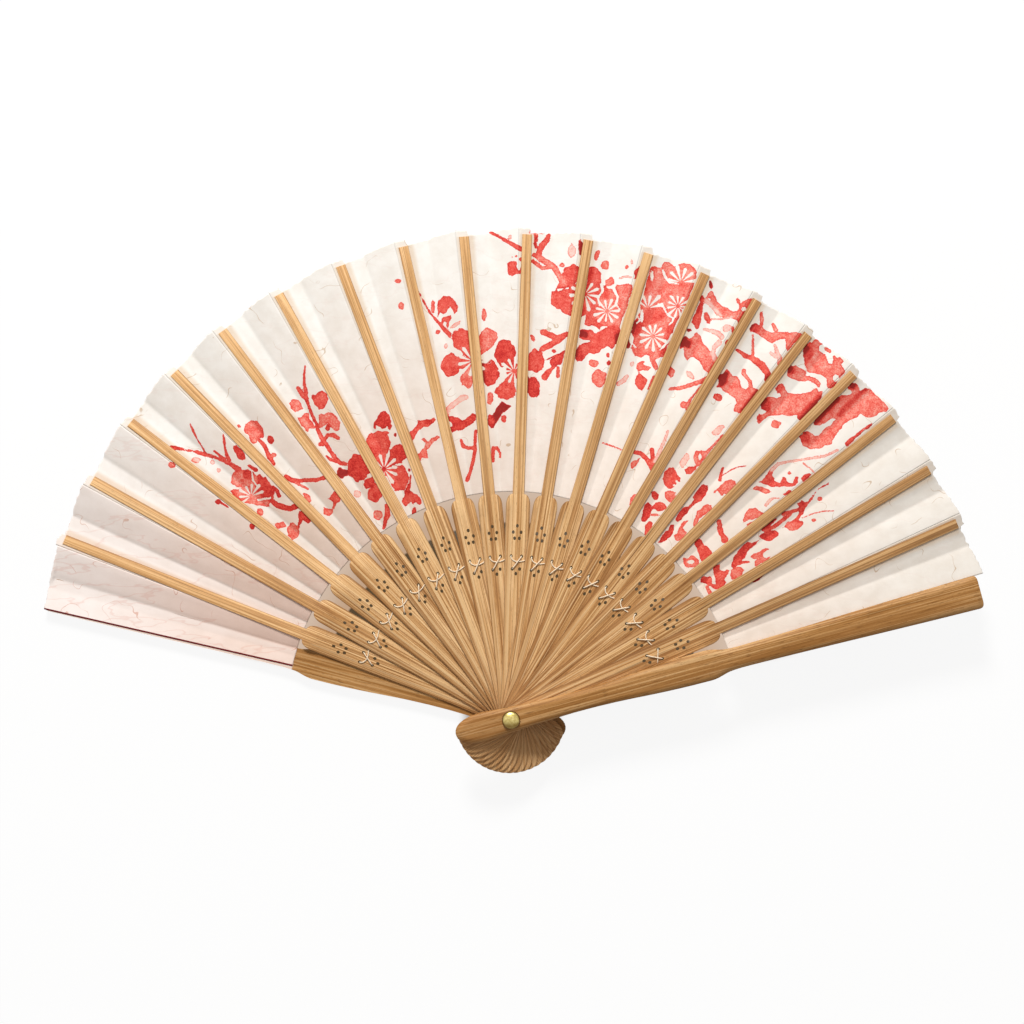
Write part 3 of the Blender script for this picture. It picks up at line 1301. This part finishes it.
# %% Blossoms
BLOSSOMS = [
    ((384, 468), (378, 443, 24, 24, 0, "M"), (398, 454, 17, 20, 0, "D"), (399, 478, 19, 26, 0, "M"),
     (358, 467, 22, 28, 0, "D"), (375, 494, 15, 17, 0, "M"), (368, 484, 11, 10, 0, "D")),
    ((473, 360), (461, 339, 18, 22, 0, "M"), (451, 365, 20, 23, 0, "M"), (467, 379, 14, 18, 0, "C"),
     (488, 338, 18, 20, 0, "C"), (490, 373, 18, 26, 0, "D")),
    ((514, 371), (505, 353, 21, 28, 0, "D"), (506, 391, 21, 17, 0, "M"), (533, 387, 14, 22, 0, "D"),
     (536, 361, 17, 23, 0, "M")),
]
EYES = [
    (251, 496, 15, 110, 115), (384, 469, 18, 0, 180), (473, 361, 19, 0, 180),
    (514, 371, 17, 180, 130), (681, 282, 19, 90, 100), (678, 306, 15, 0, 180),
    (648, 308, 18, 75, 75), (607, 311, 15, 0, 180), (585, 294, 19, 0, 180),
    (653, 336, 16, 0, 180), (682, 488, 10, 0, 180),
]
print(len(BLOSSOMS), "open blossoms and", len(EYES), "eyes")

# %% [markdown]
# Each shape gives every point its depth inside the shape in millimetres, negative
# outside. A wash measures to its outline, a stroke to its line, and a dab is a quick
# guess that is right near the oval's edge.

# %% Depths of the shapes
STEP_ON_LEAF = 0.3836
FAR_AWAY = 99.0


def shapes_of(written):
    """The shapes of a list: a letter starts each, and its points follow."""
    made = []
    for word in written.split():
        if word.isalpha():
            made.append((word, []))
        else:
            made[-1][1].append(tuple(float(v) for v in word.split(",")))
    return made


def to_line(px, py, x0, y0, x1, y1):
    """How far along a line each point's nearest place is, from 0 to 1, and how far off."""
    dx, dy = x1 - x0, y1 - y0
    t = np.clip(((px - x0) * dx + (py - y0) * dy) / (dx * dx + dy * dy), 0, 1)
    return t, np.hypot(px - x0 - t * dx, py - y0 - t * dy)


def wash_depth(px, py, outline):
    away = np.full_like(px, FAR_AWAY)
    inside = np.zeros(px.shape, bool)
    for (x0, y0), (x1, y1) in zip(outline, outline[1:] + outline[:1]):
        away = np.minimum(away, to_line(px, py, x0, y0, x1, y1)[1])
        if y1 != y0:
            crossing = x0 + (py - y0) * (x1 - x0) / (y1 - y0)
            inside ^= ((y0 > py) != (y1 > py)) & (px < crossing)
    return np.where(inside, away, -away) * STEP_ON_LEAF


def stroke_depth(px, py, points):
    best = np.full_like(px, -FAR_AWAY)
    for (x0, y0, w0), (x1, y1, w1) in zip(points, points[1:]):
        t, away = to_line(px, py, x0, y0, x1, y1)
        best = np.maximum(best, (w0 + t * (w1 - w0)) / 2 - away)
    return best * STEP_ON_LEAF


def dab_depth(px, py, x, y, w, h, turn=0):
    c, s = math.cos(math.radians(turn)), math.sin(math.radians(turn))
    across = ((px - x) * c + (py - y) * s) / (w / 2)
    down = (-(px - x) * s + (py - y) * c) / (h / 2)
    return (1 - np.hypot(across, down)) * min(w, h) / 2 * STEP_ON_LEAF


print(len(shapes_of(WASHES)), "washes and", len(shapes_of(STROKES)), "strokes")

# %% [markdown]
# The depths are joined into one field, which the paper's material cuts at zero, so a
# shape's edge stays crisp between the points of the grid. Each shape's tone is laid over
# the one before with a soft border, and a blossom in front keeps a thin pale rim. A slow
# wobble makes the edges uneven.

# %% Lay the print
PETAL_GAP = 0.10
HALO = 0.26
EYE_SHARE = 0.45
PETAL_ROOT = 0.45
PETAL_REACH = 0.8
BLEED = 0.38
FULL_WOBBLE = 10.0
FAR_OUT = -4.0
THIN_HELP = 0.05
WASH_WOBBLE = 0.55
LINE_WOBBLE = 0.3
LOOK_ROUND = 12


def tone_over(tone, d, letter):
    return tone + (TONE[letter] - tone) * np.clip((d + BLEED) / (2 * BLEED), 0, 1)


def near(px, py, points):
    return all(p.min() < max(along) + LOOK_ROUND and p.max() > min(along) - LOOK_ROUND
               for p, along in zip((px, py), zip(*points)))


def lay_blossom(px, py, depth, tone, wobble, blossom):
    """One blossom laid over the print so far: its petals part at thin gaps."""
    (x, y), *petals = blossom
    first = np.full_like(px, -FAR_AWAY)
    second = np.full_like(px, -FAR_AWAY)
    petal_tone = np.full_like(px, TONE["M"])
    for petal_x, petal_y, w, h, turn, letter in petals:
        root = [(petal_x, petal_y, PETAL_REACH * min(w, h)), (x, y, PETAL_ROOT * min(w, h))]
        oval = dab_depth(px, py, petal_x, petal_y, w, h, turn)
        d = np.maximum(oval, stroke_depth(px, py, root)) + wobble
        second = np.maximum(second, np.minimum(first, d))
        first = np.maximum(first, d)
        petal_tone = tone_over(petal_tone, d, letter)
    near_eye = (EYE_SHARE * EYES[1][2] - np.hypot(px - x, py - y)) * STEP_ON_LEAF
    flower = np.maximum(np.minimum(first, (first - second) / 2 - PETAL_GAP), near_eye)
    whole = np.maximum(first, near_eye)
    front = np.clip((whole + HALO) / 0.1, 0, 1)
    depth = np.maximum(flower, np.minimum(depth, -whole - HALO))
    return depth, tone * (1 - front) + petal_tone * front


def lay_print(px, py):
    wobble = 0.20 * ripple(px, py, 3, 11.0) + 0.22 * ripple(px, py, 4, 5.0)
    depth = np.full_like(px, FAR_OUT)
    tone = np.full_like(px, TONE["M"])
    laid = [(letter, wash_depth(px, py, points) + wobble * WASH_WOBBLE)
            for letter, points in shapes_of(WASHES) if near(px, py, points)]
    for letter, points in shapes_of(STROKES):
        if near(px, py, [p[:2] for p in points]):
            widest = max(p[2] for p in points)
            give = wobble * min(1.0, widest / FULL_WOBBLE) ** 2 + THIN_HELP
            laid.append((letter, stroke_depth(px, py, points) + give))
    for letter, d in laid:
        depth = np.maximum(depth, d)
        tone = tone_over(tone, d, letter)
    for blossom in BLOSSOMS:
        depth, tone = lay_blossom(px, py, depth, tone, wobble, blossom)
    for letter, dabs in shapes_of(DABS):
        for dab in dabs:
            d = dab_depth(px, py, *dab) + wobble * min(1.0, min(dab[2:4]) / FULL_WOBBLE)
            depth = np.maximum(depth, d)
            tone = tone_over(tone, d, letter)
    for _, gaps in shapes_of(GAPS):
        for gap in gaps:
            depth = np.minimum(depth, -dab_depth(px, py, *gap))
    for _, points in shapes_of(PALE_LINES):
        depth = np.minimum(depth, -stroke_depth(px, py, points) - wobble * LINE_WOBBLE)
    return np.maximum(depth, FAR_OUT), tone


print("the print is", len(BLOSSOMS), "blossoms over washes, strokes and dabs")

# %% [markdown]
# The stamens are finer than the grid. So each corner of a face near an eye knows where it
# lies from that eye, in stamens' reach, and the material draws the rays from that. A face
# that lies between two eyes, or far from all, gets a value that draws nothing.

# %% Stamens
NO_EYE = 9.0
EYE_LIMIT = 1.3


def stamen_corners(mesh, px, py):
    """At each corner of a face: right and up of its eye, the eye's number and its fan."""
    best = np.full_like(px, NO_EYE)
    made = np.full(px.shape + (5,), NO_EYE)
    for number, (x, y, reach, way, spread) in enumerate(EYES):
        fan = (number + 1, math.radians(way), math.cos(math.radians(spread)) - 0.01)
        local = np.stack([(px - x) / reach, (y - py) / reach]
                         + [np.full_like(px, v) for v in fan], -1)
        away = np.hypot(local[..., 0], local[..., 1])
        made[away < best] = local[away < best]
        best = np.minimum(best, away)
    quads = np.tile(made.reshape(-1, 5), (2, 1))[corner_points(mesh)].reshape(-1, 4, 5)
    reach = np.hypot(quads[:, :, 0], quads[:, :, 1])
    between_eyes = np.ptp(quads[:, :, 2], axis=1) > 0
    quads[between_eyes | (reach.min(axis=1) > EYE_LIMIT)] = NO_EYE
    return quads


def corner_vector(mesh, name, values):
    made = mesh.attributes.new(name, "FLOAT_VECTOR", "CORNER")
    made.data.foreach_set("vector", values.ravel().astype(np.float32))


print(len(EYES), "eyes with stamens")

# %% [markdown]
# Each pleat is now made, printed and tied to its two sticks. A point follows stick k + 1
# by its share, so the fold narrows as a folded sheet does, and shuts flat.

# %% Make the leaf
PAPER_LOOK = bpy.data.materials.new("printed_paper")
BLEND_REACH = 0.13

for k in range(LAST):
    points, theta, share = leaf_points(k)
    mesh = sheet_mesh(f"paper_pleat_{k:02d}", points, LEAF_THICK)
    px, py = in_picture(points)
    depth, tone = lay_print(px, py)
    for name, values in (("brush", depth), ("brush_tone", tone), ("past_ridge", theta),
                         ("side", np.full_like(theta, float(k)))):
        point_values(mesh, name, np.stack([values, values]))
    quads = stamen_corners(mesh, px, py)
    corner_vector(mesh, "stamen", quads[:, :, :3])
    corner_vector(mesh, "stamen_fan", quads[:, :, 2:])
    mesh.materials.append(PAPER_LOOK)
    pleat = link_piece(f"paper_pleat_{k:02d}", mesh)
    mesh.shade_smooth()
    a = math.radians(stick_angle(k))
    b = math.radians(stick_angle(k + 1))
    mid = BLEND_REACH
    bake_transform(pleat, STICKS[k], STICKS[k + 1],
             start=(mid * math.cos(a), mid * math.sin(a), layer_z(k)),
             end=(mid * math.cos(b), mid * math.sin(b), layer_z(k + 1)))
    shares = np.stack([share, share]).ravel().astype(np.float32)
    mesh.attributes["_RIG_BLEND"].data.foreach_set("value", shares)
    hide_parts(f"leaf_pleat_{k:02d}")
    width = math.radians(pleat_width(k)) * LEAF_OUTER
    area = math.radians(pleat_width(k)) * (LEAF_OUTER**2 - LEAF_INNER**2) / 2
print("leaf of", LAST, "pleats, each of", len(mesh.vertices), "points")

# %% [markdown]
# ## The rivet
# The rivet is a brass pin with a low domed head in front and a thin washer at the back,
# where its end is hammered flat. The head is half a sphere pressed to its height, with a
# short straight rim, and the pin is drawn down from its underside.

# %% Rivet
REAR_CAP_RADIUS = 3.4 * MM
REAR_CAP_THICK = 0.8 * MM
CAP_ROUND = 0.22 * MM
CAP_RINGS = ((1.4 * MM, -0.06 * MM), (0.25 * MM, -0.1 * MM))
PIN_RADIUS = 1.0 * MM
DOME_RADIUS = 3.4 * MM
DOME_HEIGHT = 1.9 * MM
DOME_RIM = 0.3 * MM
DOME_ROUND = 0.12 * MM
DOME_Z = 20.45 * MM
NEAR_RIM = 0.1 * MM
FLATTER = (DOME_HEIGHT - DOME_RIM) / DOME_RADIUS
BRASS = bpy.data.materials.new("aged_brass")


def set_rivet(obj, height, angle, node):
    object_mode()
    obj.data.transform(Matrix.Translation((0, 0, height)))
    outwards(obj)
    obj.data.materials.append(BRASS)
    smooth_sides(obj, angle)
    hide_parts(node)
    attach(obj, "back_guard")


dome = new_piece("rivet_dome_and_pin", "uv_sphere", segments=64, ring_count=32, radius=DOME_RADIUS)
edit(dome)
pick_all()
bpy.ops.mesh.bisect(plane_co=(0, 0, 0), plane_no=(0, 0, 1), clear_inner=True, use_fill=False)
pick_all()
bpy.ops.transform.resize(value=(1, 1, FLATTER), center_override=(0, 0, 0))
pick(dome, "EDGE", lambda m, part: len(part.link_faces) == 1)
extrude(0, 0, -DOME_RIM)
bpy.ops.mesh.edge_face_add()
pick(dome, "FACE", lambda m, part: part.normal.z < -FACES_UP and m.z < -DOME_RIM / 2)
bpy.ops.mesh.inset(thickness=DOME_RADIUS - PIN_RADIUS)
extrude(0, 0, -(DOME_Z - REAR_CAP_THICK / 4))
pick(dome, "EDGE", lambda m, part: is_rim(m, part) and m.z < -DOME_RIM / 2
     and abs(m.xy.length - DOME_RADIUS) < NEAR_RIM)
bevel(DOME_ROUND, 2)
set_rivet(dome, DOME_Z + DOME_RIM, 50, "rivet_pin")

washer = new_piece("rivet_washer", "cylinder", vertices=64, radius=REAR_CAP_RADIUS,
                   depth=REAR_CAP_THICK, location=(0, 0, 0))
edit(washer)
pick(washer, "EDGE", is_rim)
bevel(CAP_ROUND, 3)
pick(washer, "FACE", lambda m, part: abs(part.normal.z) > 0.99)
for inward, sunk in CAP_RINGS:
    bpy.ops.mesh.inset(thickness=inward, depth=sunk)
set_rivet(washer, REAR_CAP_THICK / 2, 40, "rivet_rear_cap")
print("rivet", tuple(round(d / MM, 2) for d in dome.dimensions))

# %% [markdown]
# ## The stitches
# One undyed cotton thread laces the ribs through their lower flowers. On each rib it
# makes a cross, then slips under the next rib. It is made rib by rib as tubes along the
# thread's path, and what starts at a rib rides on it.

# %% The thread's path
THREAD_RADIUS = 0.24 * MM
RIGHT_UP, RIGHT_DOWN = Vector((62.0, 2.0, 0)) * MM, Vector((62.0, -2.0, 0)) * MM
LEFT_UP = Vector((57.1, 1.4, 0)) * MM
LAST_LEANS = Vector((-2.4, -1.0, 0)) * MM
TOP_OF_RIB = RIB_THICK + THREAD_RADIUS * 0.8
IN_HOLE = RIB_THICK * 0.3
CROSS_HEIGHT = TOP_OF_RIB + 1.3 * THREAD_RADIUS
ARC = ((62.0, 2.0, 0.3), (62.0, 2.0, 0.75), (61.6, 2.1, 1.0), (60.7, 1.5, 1.0), (60.1, 0.6, 1.0),
       (59.9, -0.4, 1.0), (60.0, -1.6, 1.0), (60.3, -2.8, 0.95), (60.6, -3.6, 0.8))
UNDER_NEXT = ((61.2, 2.9, -THREAD_RADIUS * 0.6), (61.8, 2.2, -THREAD_RADIUS * 0.4),
              (62.0, 2.0, IN_HOLE))
OVER_STEPS = 10


def over(a, b, high):
    """A path over the rib from hole a to hole b, out of one and into the other."""
    made = [Vector((a.x, a.y, IN_HOLE))]
    for i in range(OVER_STEPS + 1):
        t = i / OVER_STEPS
        rise = min(1.0, 6 * t, 6 * (1 - t))
        up = IN_HOLE + (high - IN_HOLE) * (rise * (2 - rise))
        made.append(a.lerp(b, t) + Vector((0, 0, up)))
    made.append(Vector((b.x, b.y, IN_HOLE)))
    return made


def thread_lengths(k):
    """The thread's lengths at rib k, each with the matrix that puts it in place."""
    here = in_place(k, layer_z(k))
    crossing = over(LEFT_UP, RIGHT_DOWN, CROSS_HEIGHT)
    if k == LAST - 1:
        last = over(RIGHT_UP, RIGHT_DOWN + LAST_LEANS, TOP_OF_RIB)
        return [(crossing, here), (last, here)]
    beyond = in_place(k + 1, layer_z(k + 1))
    arc = [here @ Vector((x * MM, y * MM, TOP_OF_RIB * share)) for x, y, share in ARC]
    arc += [beyond @ Vector((x * MM, y * MM, z)) for x, y, z in UNDER_NEXT]
    return [(crossing, here), (arc, Matrix())]


print("thread", 2 * THREAD_RADIUS / MM, "mm thick")

# %% [markdown]
# A tube is a ring of corners at each point of the path, joined to the next ring and
# closed at both ends. The two lengths at a rib are one piece.

# %% Stitches
COTTON = bpy.data.materials.new("natural_cotton")
RING = 8


def tube(path):
    """Rings of corners and faces for a round tube along the path."""
    corners, faces = [], []
    for i, point in enumerate(path):
        ahead = (path[min(i + 1, len(path) - 1)] - path[max(i - 1, 0)]).normalized()
        side = ahead.cross(Vector((0, 0, 1)))
        if side.length <= 0.05:
            side = ahead.cross(Vector((0, 1, 0)))
        side.normalize()
        up = side.cross(ahead).normalized()
        for j in range(RING):
            a = 2 * math.pi * j / RING
            corners.append(point + THREAD_RADIUS * (math.cos(a) * side + math.sin(a) * up))
    for i in range(len(path) - 1):
        for j in range(RING):
            n = (j + 1) % RING
            faces.append((i * RING + j, i * RING + n, (i + 1) * RING + n, (i + 1) * RING + j))
    faces.append(tuple(range(RING))[::-1])
    faces.append(tuple((len(path) - 1) * RING + j for j in range(RING)))
    return corners, faces


for k in range(1, LAST):
    corners, faces = [], []
    for path, place in thread_lengths(k):
        ring_corners, ring_faces = tube(path)
        faces += [tuple(i + len(corners) for i in face) for face in ring_faces]
        corners += [place @ v for v in ring_corners]
    mesh = bpy.data.meshes.new(f"stitch_{k:02d}")
    mesh.from_pydata([tuple(v) for v in corners], [], faces)
    mesh.update()
    mesh.materials.append(COTTON)
    stitch = link_piece(f"stitch_{k:02d}", mesh)
    outwards(stitch)
    smooth_sides(stitch, 60)
    if k == 1:
        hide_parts("stitch_thread")
    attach(stitch, STICKS[k])
print("19 crossed stitches")

# %% [markdown]
# ## Bamboo
# Bamboo is all long fibres. The material reads the stick's own map, stretches noise along
# the length for streaks of three sizes, and adds short dark pores. Bright and dark lines
# run down from the arm's edges into the blade where the plane stopped. One group makes
# the colour, the roughness and the height for every stick.

# %% Bamboo group


def tint(colour, share, r, g, b, blend="MIX"):
    """Lay an sRGB colour over another by a share."""
    return mix(share, colour, srgb(r, g, b), blend)


def streaks(length, pitch, shift, detail):
    """Streaks some `length` mm long and `pitch` mm apart."""
    u = along * (1 / length)
    v = across * (1 / pitch) / ins["Coarseness"]
    return noise(combine(u, v, ins["Seed"] + shift), detail)


bamboo, ins, outs = new_group(
    "bamboo_fibres",
    {"Place": "Vector", "Seed": "Float", "Tone": "Float", "Coarseness": "Float"},
    {"Colour": "Color", "Height": "Float", "Roughness": "Float"})
along, across, _ = split(ins["Place"])
broad = streaks(60, 1.6, 0.0, 1.0)
medium = streaks(40, 0.62, 11.0, 2.0)
fine = streaks(18, 0.24, 23.0, 2.0)
dark_pores = smooth(streaks(1.6, 0.17, 37.0, 1.0), 0.60, 0.72) * 0.45
mottle = streaks(9, 3.0, 51.0, 2.0)
lines = streaks(140, 0.42, 71.0, 1.0)
mixed = broad * 0.32 + medium * 0.42 + fine * 0.26 + (ins["Tone"] - 0.5) * 0.24
wood = ramp(mixed, [(0.35, srgb(116, 75, 38)), (0.43, srgb(176, 124, 72)),
                    (0.51, srgb(211, 160, 103)), (0.61, srgb(242, 199, 146))])
wood = tint(wood, dark_pores, 92, 60, 34)
wood = tint(wood, smooth(mottle, 0.45, 0.75) * 0.25, 176, 126, 82)
wood = tint(wood, smooth(lines, 0.45, 0.39) * 0.62, 146, 96, 50)
wood = tint(wood, smooth(lines, 0.55, 0.62) * 0.50, 244, 206, 152)
finish_group(bamboo, outs, Colour=wood, Height=medium * 0.6 + fine * 0.4 - dark_pores * 0.6,
             Roughness=fine * 0.25 + 0.42)

# %% [markdown]
# The ribs are pale where the plane thinned the arm and browned along their rims. A shaded
# strip runs along the side where the rib above lies close, with a bright line beside it.

# %% Material of the ribs
STICK_SPECULAR = 0.20
STICK_BUMP = 0.08 * MM


def stick_grain(tree, coarseness):
    """The bamboo group on a stick's own map, with the map's length and width."""
    place = wire(tree, "ShaderNodeUVMap", uv_map="fibre")
    grain = place_group(tree, bamboo, {"Place": place, "Seed": named(tree, "seed"),
                                       "Tone": named(tree, "tone"), "Coarseness": coarseness})
    along, across, _ = split(place)
    return grain, along, across


def dress_stick(shader, colour, grain):
    dress(shader, colour, grain["Roughness"], grain["Height"], STICK_BUMP,
          Specular_IOR_Level=STICK_SPECULAR)


tree, shader = start_material(RIB_LOOK)
grain, along, across = stick_grain(tree, 1.0)
on_blade = smooth(along, 84.0, 80.0)
beside_next = smooth(across, 2.5, 3.0) * on_blade
bright_line = smooth(abs(across - 2.35), 0.35, 0.1) * on_blade
colour = tint(grain["Colour"], smooth(along, 84.0, 90.0) * 0.22, 232, 184, 128)
colour = tint(colour, beside_next * 0.30, 172, 122, 74)
colour = tint(colour, bright_line * 0.5, 232, 198, 152)
colour = tint(colour, smooth(named(tree, "rim"), 0.86, 0.99) * 0.55, 122, 80, 42)
colour = tint(colour, smooth(along, 2.0, -14.0) * 0.38, 200, 152, 104)
dress_stick(shader, colour, grain)
print("ribs dressed")

# %% [markdown]
# The guards are of darker cane with dark flecks, and their lower side lies in shade. The
# back guard is wrapped by the paper's glued end past its shoulder. The walls of the
# punched holes are scorched, as from a hot punch.

# %% Materials of the guards and the holes
tree, shader = start_material(GUARD_LOOK)
grain, along, across = stick_grain(tree, 1.35)
flecks = noise(combine(along * (1 / 5), across * (1 / 0.55), 7.0), 3.0, 0.7)
wrapped = smooth(along, 86.3, 86.9) * smooth(across, 1.0, 1.4)
is_back = named(tree, "seed").math("LESS_THAN", 2.0)
colour = tint(grain["Colour"], 0.40, 158, 108, 44)
colour = tint(colour, smooth(along, 6.0, -6.0) * 0.30, 146, 94, 44)
colour = tint(colour, smooth(across, 1.0, -5.0) * 0.45, 138, 90, 40)
colour = tint(colour, smooth(flecks, 0.57, 0.66) * 0.60, 104, 66, 30)
colour = tint(colour, wrapped * is_back, 228, 204, 190)
dress_stick(shader, colour, grain)

tree, shader = start_material(SCORCHED)
spots = noise(object_place(tree), 3.0)
dress(shader, ramp(spots, [(0.3, srgb(60, 38, 22)), (0.7, srgb(96, 66, 40))]), 0.8)
print("guards and holes dressed")

# %% [markdown]
# ## Paper, print, brass and cotton
# The paper is warm white with a cloudy surface. Long soft strands and a few crisp curled
# fibres show as tan or pink lines, stronger where the paper is pink.

# %% Paper group
paper, ins, outs = new_group("fibrous_paper", {"Place": "Vector", "Pink": "Float"},
                             {"Colour": "Color", "Height": "Float"})
place, pink = ins["Place"], ins["Pink"]
cloud = noise(scaled(place, 140.0), 4.0, 0.6)
grit = noise(scaled(place, 2200.0), 3.0, 0.6)
curls = noise(scaled(place, 58.0, (3.1, 7.7, 1.9)), 2.0, 0.55)
gate = noise(scaled(place, 120.0, (9.1, 2.7, 4.9)), 1.0)
swirl = noise(scaled(place, (17.0, 64.0, 42.0), (5.3, 1.7, 6.1)), 4.0, 0.6)
fibre_line = smooth(abs(curls - 0.5), 0.0036, 0.0010) * smooth(gate, 0.52, 0.60)
strand = smooth(abs(swirl - 0.5), 0.013, 0.001) * (pink * 0.60 + 0.08)
colour = ramp(cloud, [(0.35, srgb(243, 238, 231)), (0.65, srgb(251, 248, 243))])
colour = tint(colour, pink * 0.8, 246, 226, 222)
colour = tint(colour, strand, 232, 196, 186)
tan = mix(pink, srgb(205, 178, 148), srgb(226, 160, 152))
finish_group(paper, outs, Colour=mix(fibre_line * 0.75, colour, tan),
             Height=cloud * 0.7 + grit * 0.3 + fibre_line * 0.3)

# %% [markdown]
# The print soaks in: its edge is ragged, and its red is mottled like watercolour and
# darker towards the rims. The stamens are left as bare paper, wedges that widen away from
# the eye, eleven round a full circle and cut off outside the eye's fan.

# %% Print group
RAYS = 11
RAY_TURN = 2 * math.pi / RAYS
EYE_TWIST = 0.37

printed, ins, outs = new_group(
    "plum_print", {"Place": "Vector", "Depth": "Float", "Tone": "Float", "Stamen": "Vector",
                   "Fan": "Vector"}, {"Colour": "Color", "Cover": "Float"})
place, tone = ins["Place"], ins["Tone"]
ragged = (noise(scaled(place, 1300.0), 4.0, 0.7) - 0.5) * 0.85
depth = ins["Depth"] + ragged
sx, sy, eye = split(ins["Stamen"])
reach = (sx * sx + sy * sy).math("SQRT")
turn = sy.math("ARCTAN2", sx) * (1 / RAY_TURN) + eye * EYE_TWIST
ray = turn.math("ROUND")
off = abs(turn - ray) * RAY_TURN * reach
tip = wire(printed, "ShaderNodeTexWhiteNoise", "Value", {"Vector": combine(ray, eye, 0.0)})
tip = tip * 0.3 + 0.72
wide = (reach * 0.135).math("MINIMUM", (tip - reach) * 1.1)
in_ray = smooth(wide - off + ragged * 0.08, -0.008, 0.018) * smooth(reach, 0.10, 0.16)
_, fan_way, fan_limit = split(ins["Fan"])
ray_way = (ray - eye * EYE_TWIST) * RAY_TURN
in_ray = in_ray * (ray_way - fan_way).math("COSINE").math("GREATER_THAN", fan_limit)
cover = smooth(depth, -0.06, 0.10) * (1 - in_ray * 0.97)
wash = noise(scaled(place, 420.0), 3.0, 0.6)
speck = noise(scaled(place, 1900.0, (2.0, 5.0, 1.0)), 2.0, 0.6)
rim = smooth(depth, 0.9, 0.15) * 0.14 * smooth(tone, 0.15, 0.45)
strength = tone + (wash - 0.5) * 0.85 + (speck - 0.5) * 1.1 + rim
red = ramp(strength, [(0.0, srgb(250, 196, 184)), (0.22, srgb(248, 158, 144)),
                      (0.5, srgb(241, 108, 95)), (0.8, srgb(226, 74, 66)),
                      (1.0, srgb(198, 52, 50))])
red = tint(red, smooth(tone, 0.86, 1.0) * 0.75, 140, 44, 42)
finish_group(printed, outs, Colour=red, Cover=cover * (smooth(tone, 0.0, 0.35) * 0.35 + 0.65))

# %% [markdown]
# The leaf is pink at its first pleats and darker where it is glued to a rib. Its first
# fold has a dark red border. It is browned a little by handling near its inner edge, and
# warm light from the next rib tints the side of each fold that rises.

# %% Material of the leaf
PAPER_ROUGH = 0.85
PAPER_BUMP = 0.12 * MM


def on_paper(tree, pink):
    place = object_place(tree)
    return place, place_group(tree, paper, {"Place": place, "Pink": pink})


tree, shader = start_material(PAPER_LOOK)
side, past = named(tree, "side"), named(tree, "past_ridge")
place, sheet = on_paper(tree, smooth(side, 3.5, 0.0) * 0.55)
radius = length(place)
from_rib = past - RIB_FROM_RIDGE
glued = smooth(from_rib, 1.5, 0.9) * smooth(from_rib, -1.2, -0.6)
mark = place_group(tree, printed, {
    "Place": place, "Depth": named(tree, "brush"), "Tone": glued * 0.25 + named(tree, "brush_tone"),
    "Stamen": named(tree, "stamen", "Vector"), "Fan": named(tree, "stamen_fan", "Vector")})
first_pleat = side.math("LESS_THAN", 0.5)
from_fold = past * radius * (math.radians(1) / MM)
past_tips = smooth(radius, RIB_TIP_AT, RIB_TIP_AT + 0.6 * MM)
glued = glued * (1 - first_pleat) * (past_tips * -0.7 + 1.0)
beside_rib = smooth(abs(from_rib - 0.4), 2.6, 0.8)
handled = smooth(radius, 178 * MM, 84 * MM) * (beside_rib * 0.35 + 0.8)
rising = smooth(past, 3.8, 4.6) * smooth(side, 11.0, 2.0) * smooth(radius, 205 * MM, 105 * MM)
colour = mix(mark["Cover"], sheet["Colour"], mark["Colour"])
colour = tint(colour, smooth(from_fold, 0.65, 0.5) * first_pleat, 120, 34, 40)
colour = tint(colour, glued * 0.6, 236, 214, 188, "MULTIPLY")
colour = tint(colour, handled, 247, 234, 226, "MULTIPLY")
colour = mix(rising, colour, (0.98, 0.87, 0.82), "MULTIPLY")
colour = tint(colour, smooth(side, 10.5, 18.0), 241, 238, 235, "MULTIPLY")
dress(shader, colour, PAPER_ROUGH, sheet["Height"], PAPER_BUMP, 0.5, Specular_IOR_Level=0.10)

plain_paper = bpy.data.materials.new("plain_paper")
tree, shader = start_material(plain_paper)
_, sheet = on_paper(tree, 0.0)
dress(shader, sheet["Colour"], PAPER_ROUGH, sheet["Height"], PAPER_BUMP, 0.5)
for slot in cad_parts["leaf_end"].material_slots:
    slot.material = plain_paper
print("leaf dressed")

# %% [markdown]
# Old brass is bright where it is rubbed, and dark where dirt stays: round the dome's rim
# and on its lower side. The cotton is pale, with darker hollows between its twisted
# strands.

# %% Materials of the rivet and the thread
tree, shader = start_material(BRASS)
place = object_place(tree)
tarnish = noise(scaled(place, 900.0), 4.0, 0.6)
scratch = noise(scaled(place, 4200.0))
_, facing_up, facing_out = split(wire(tree, "ShaderNodeTexCoord", "Normal"))
dirt = smooth(facing_out, 0.93, 0.60) * 0.85
dirt = dirt.math("MAXIMUM", smooth(facing_up, 0.10, -0.42) * 0.80)
bright = ramp(tarnish, [(0.35, srgb(182, 158, 88)), (0.65, srgb(222, 204, 136))])
dress(shader, tint(bright, dirt, 96, 70, 30), tarnish * 0.22 + 0.24, scratch, 0.02 * MM, 0.3,
      Metallic=1.0)

tree, shader = start_material(COTTON)
twist = noise(scaled(object_place(tree), 3500.0), 3.0, 0.6)
strands = ramp(twist, [(0.3, srgb(230, 204, 170)), (0.7, srgb(252, 238, 214))])
dress(shader, strands, 0.9, twist, 0.1 * MM, 0.6)
print("rivet and thread dressed")
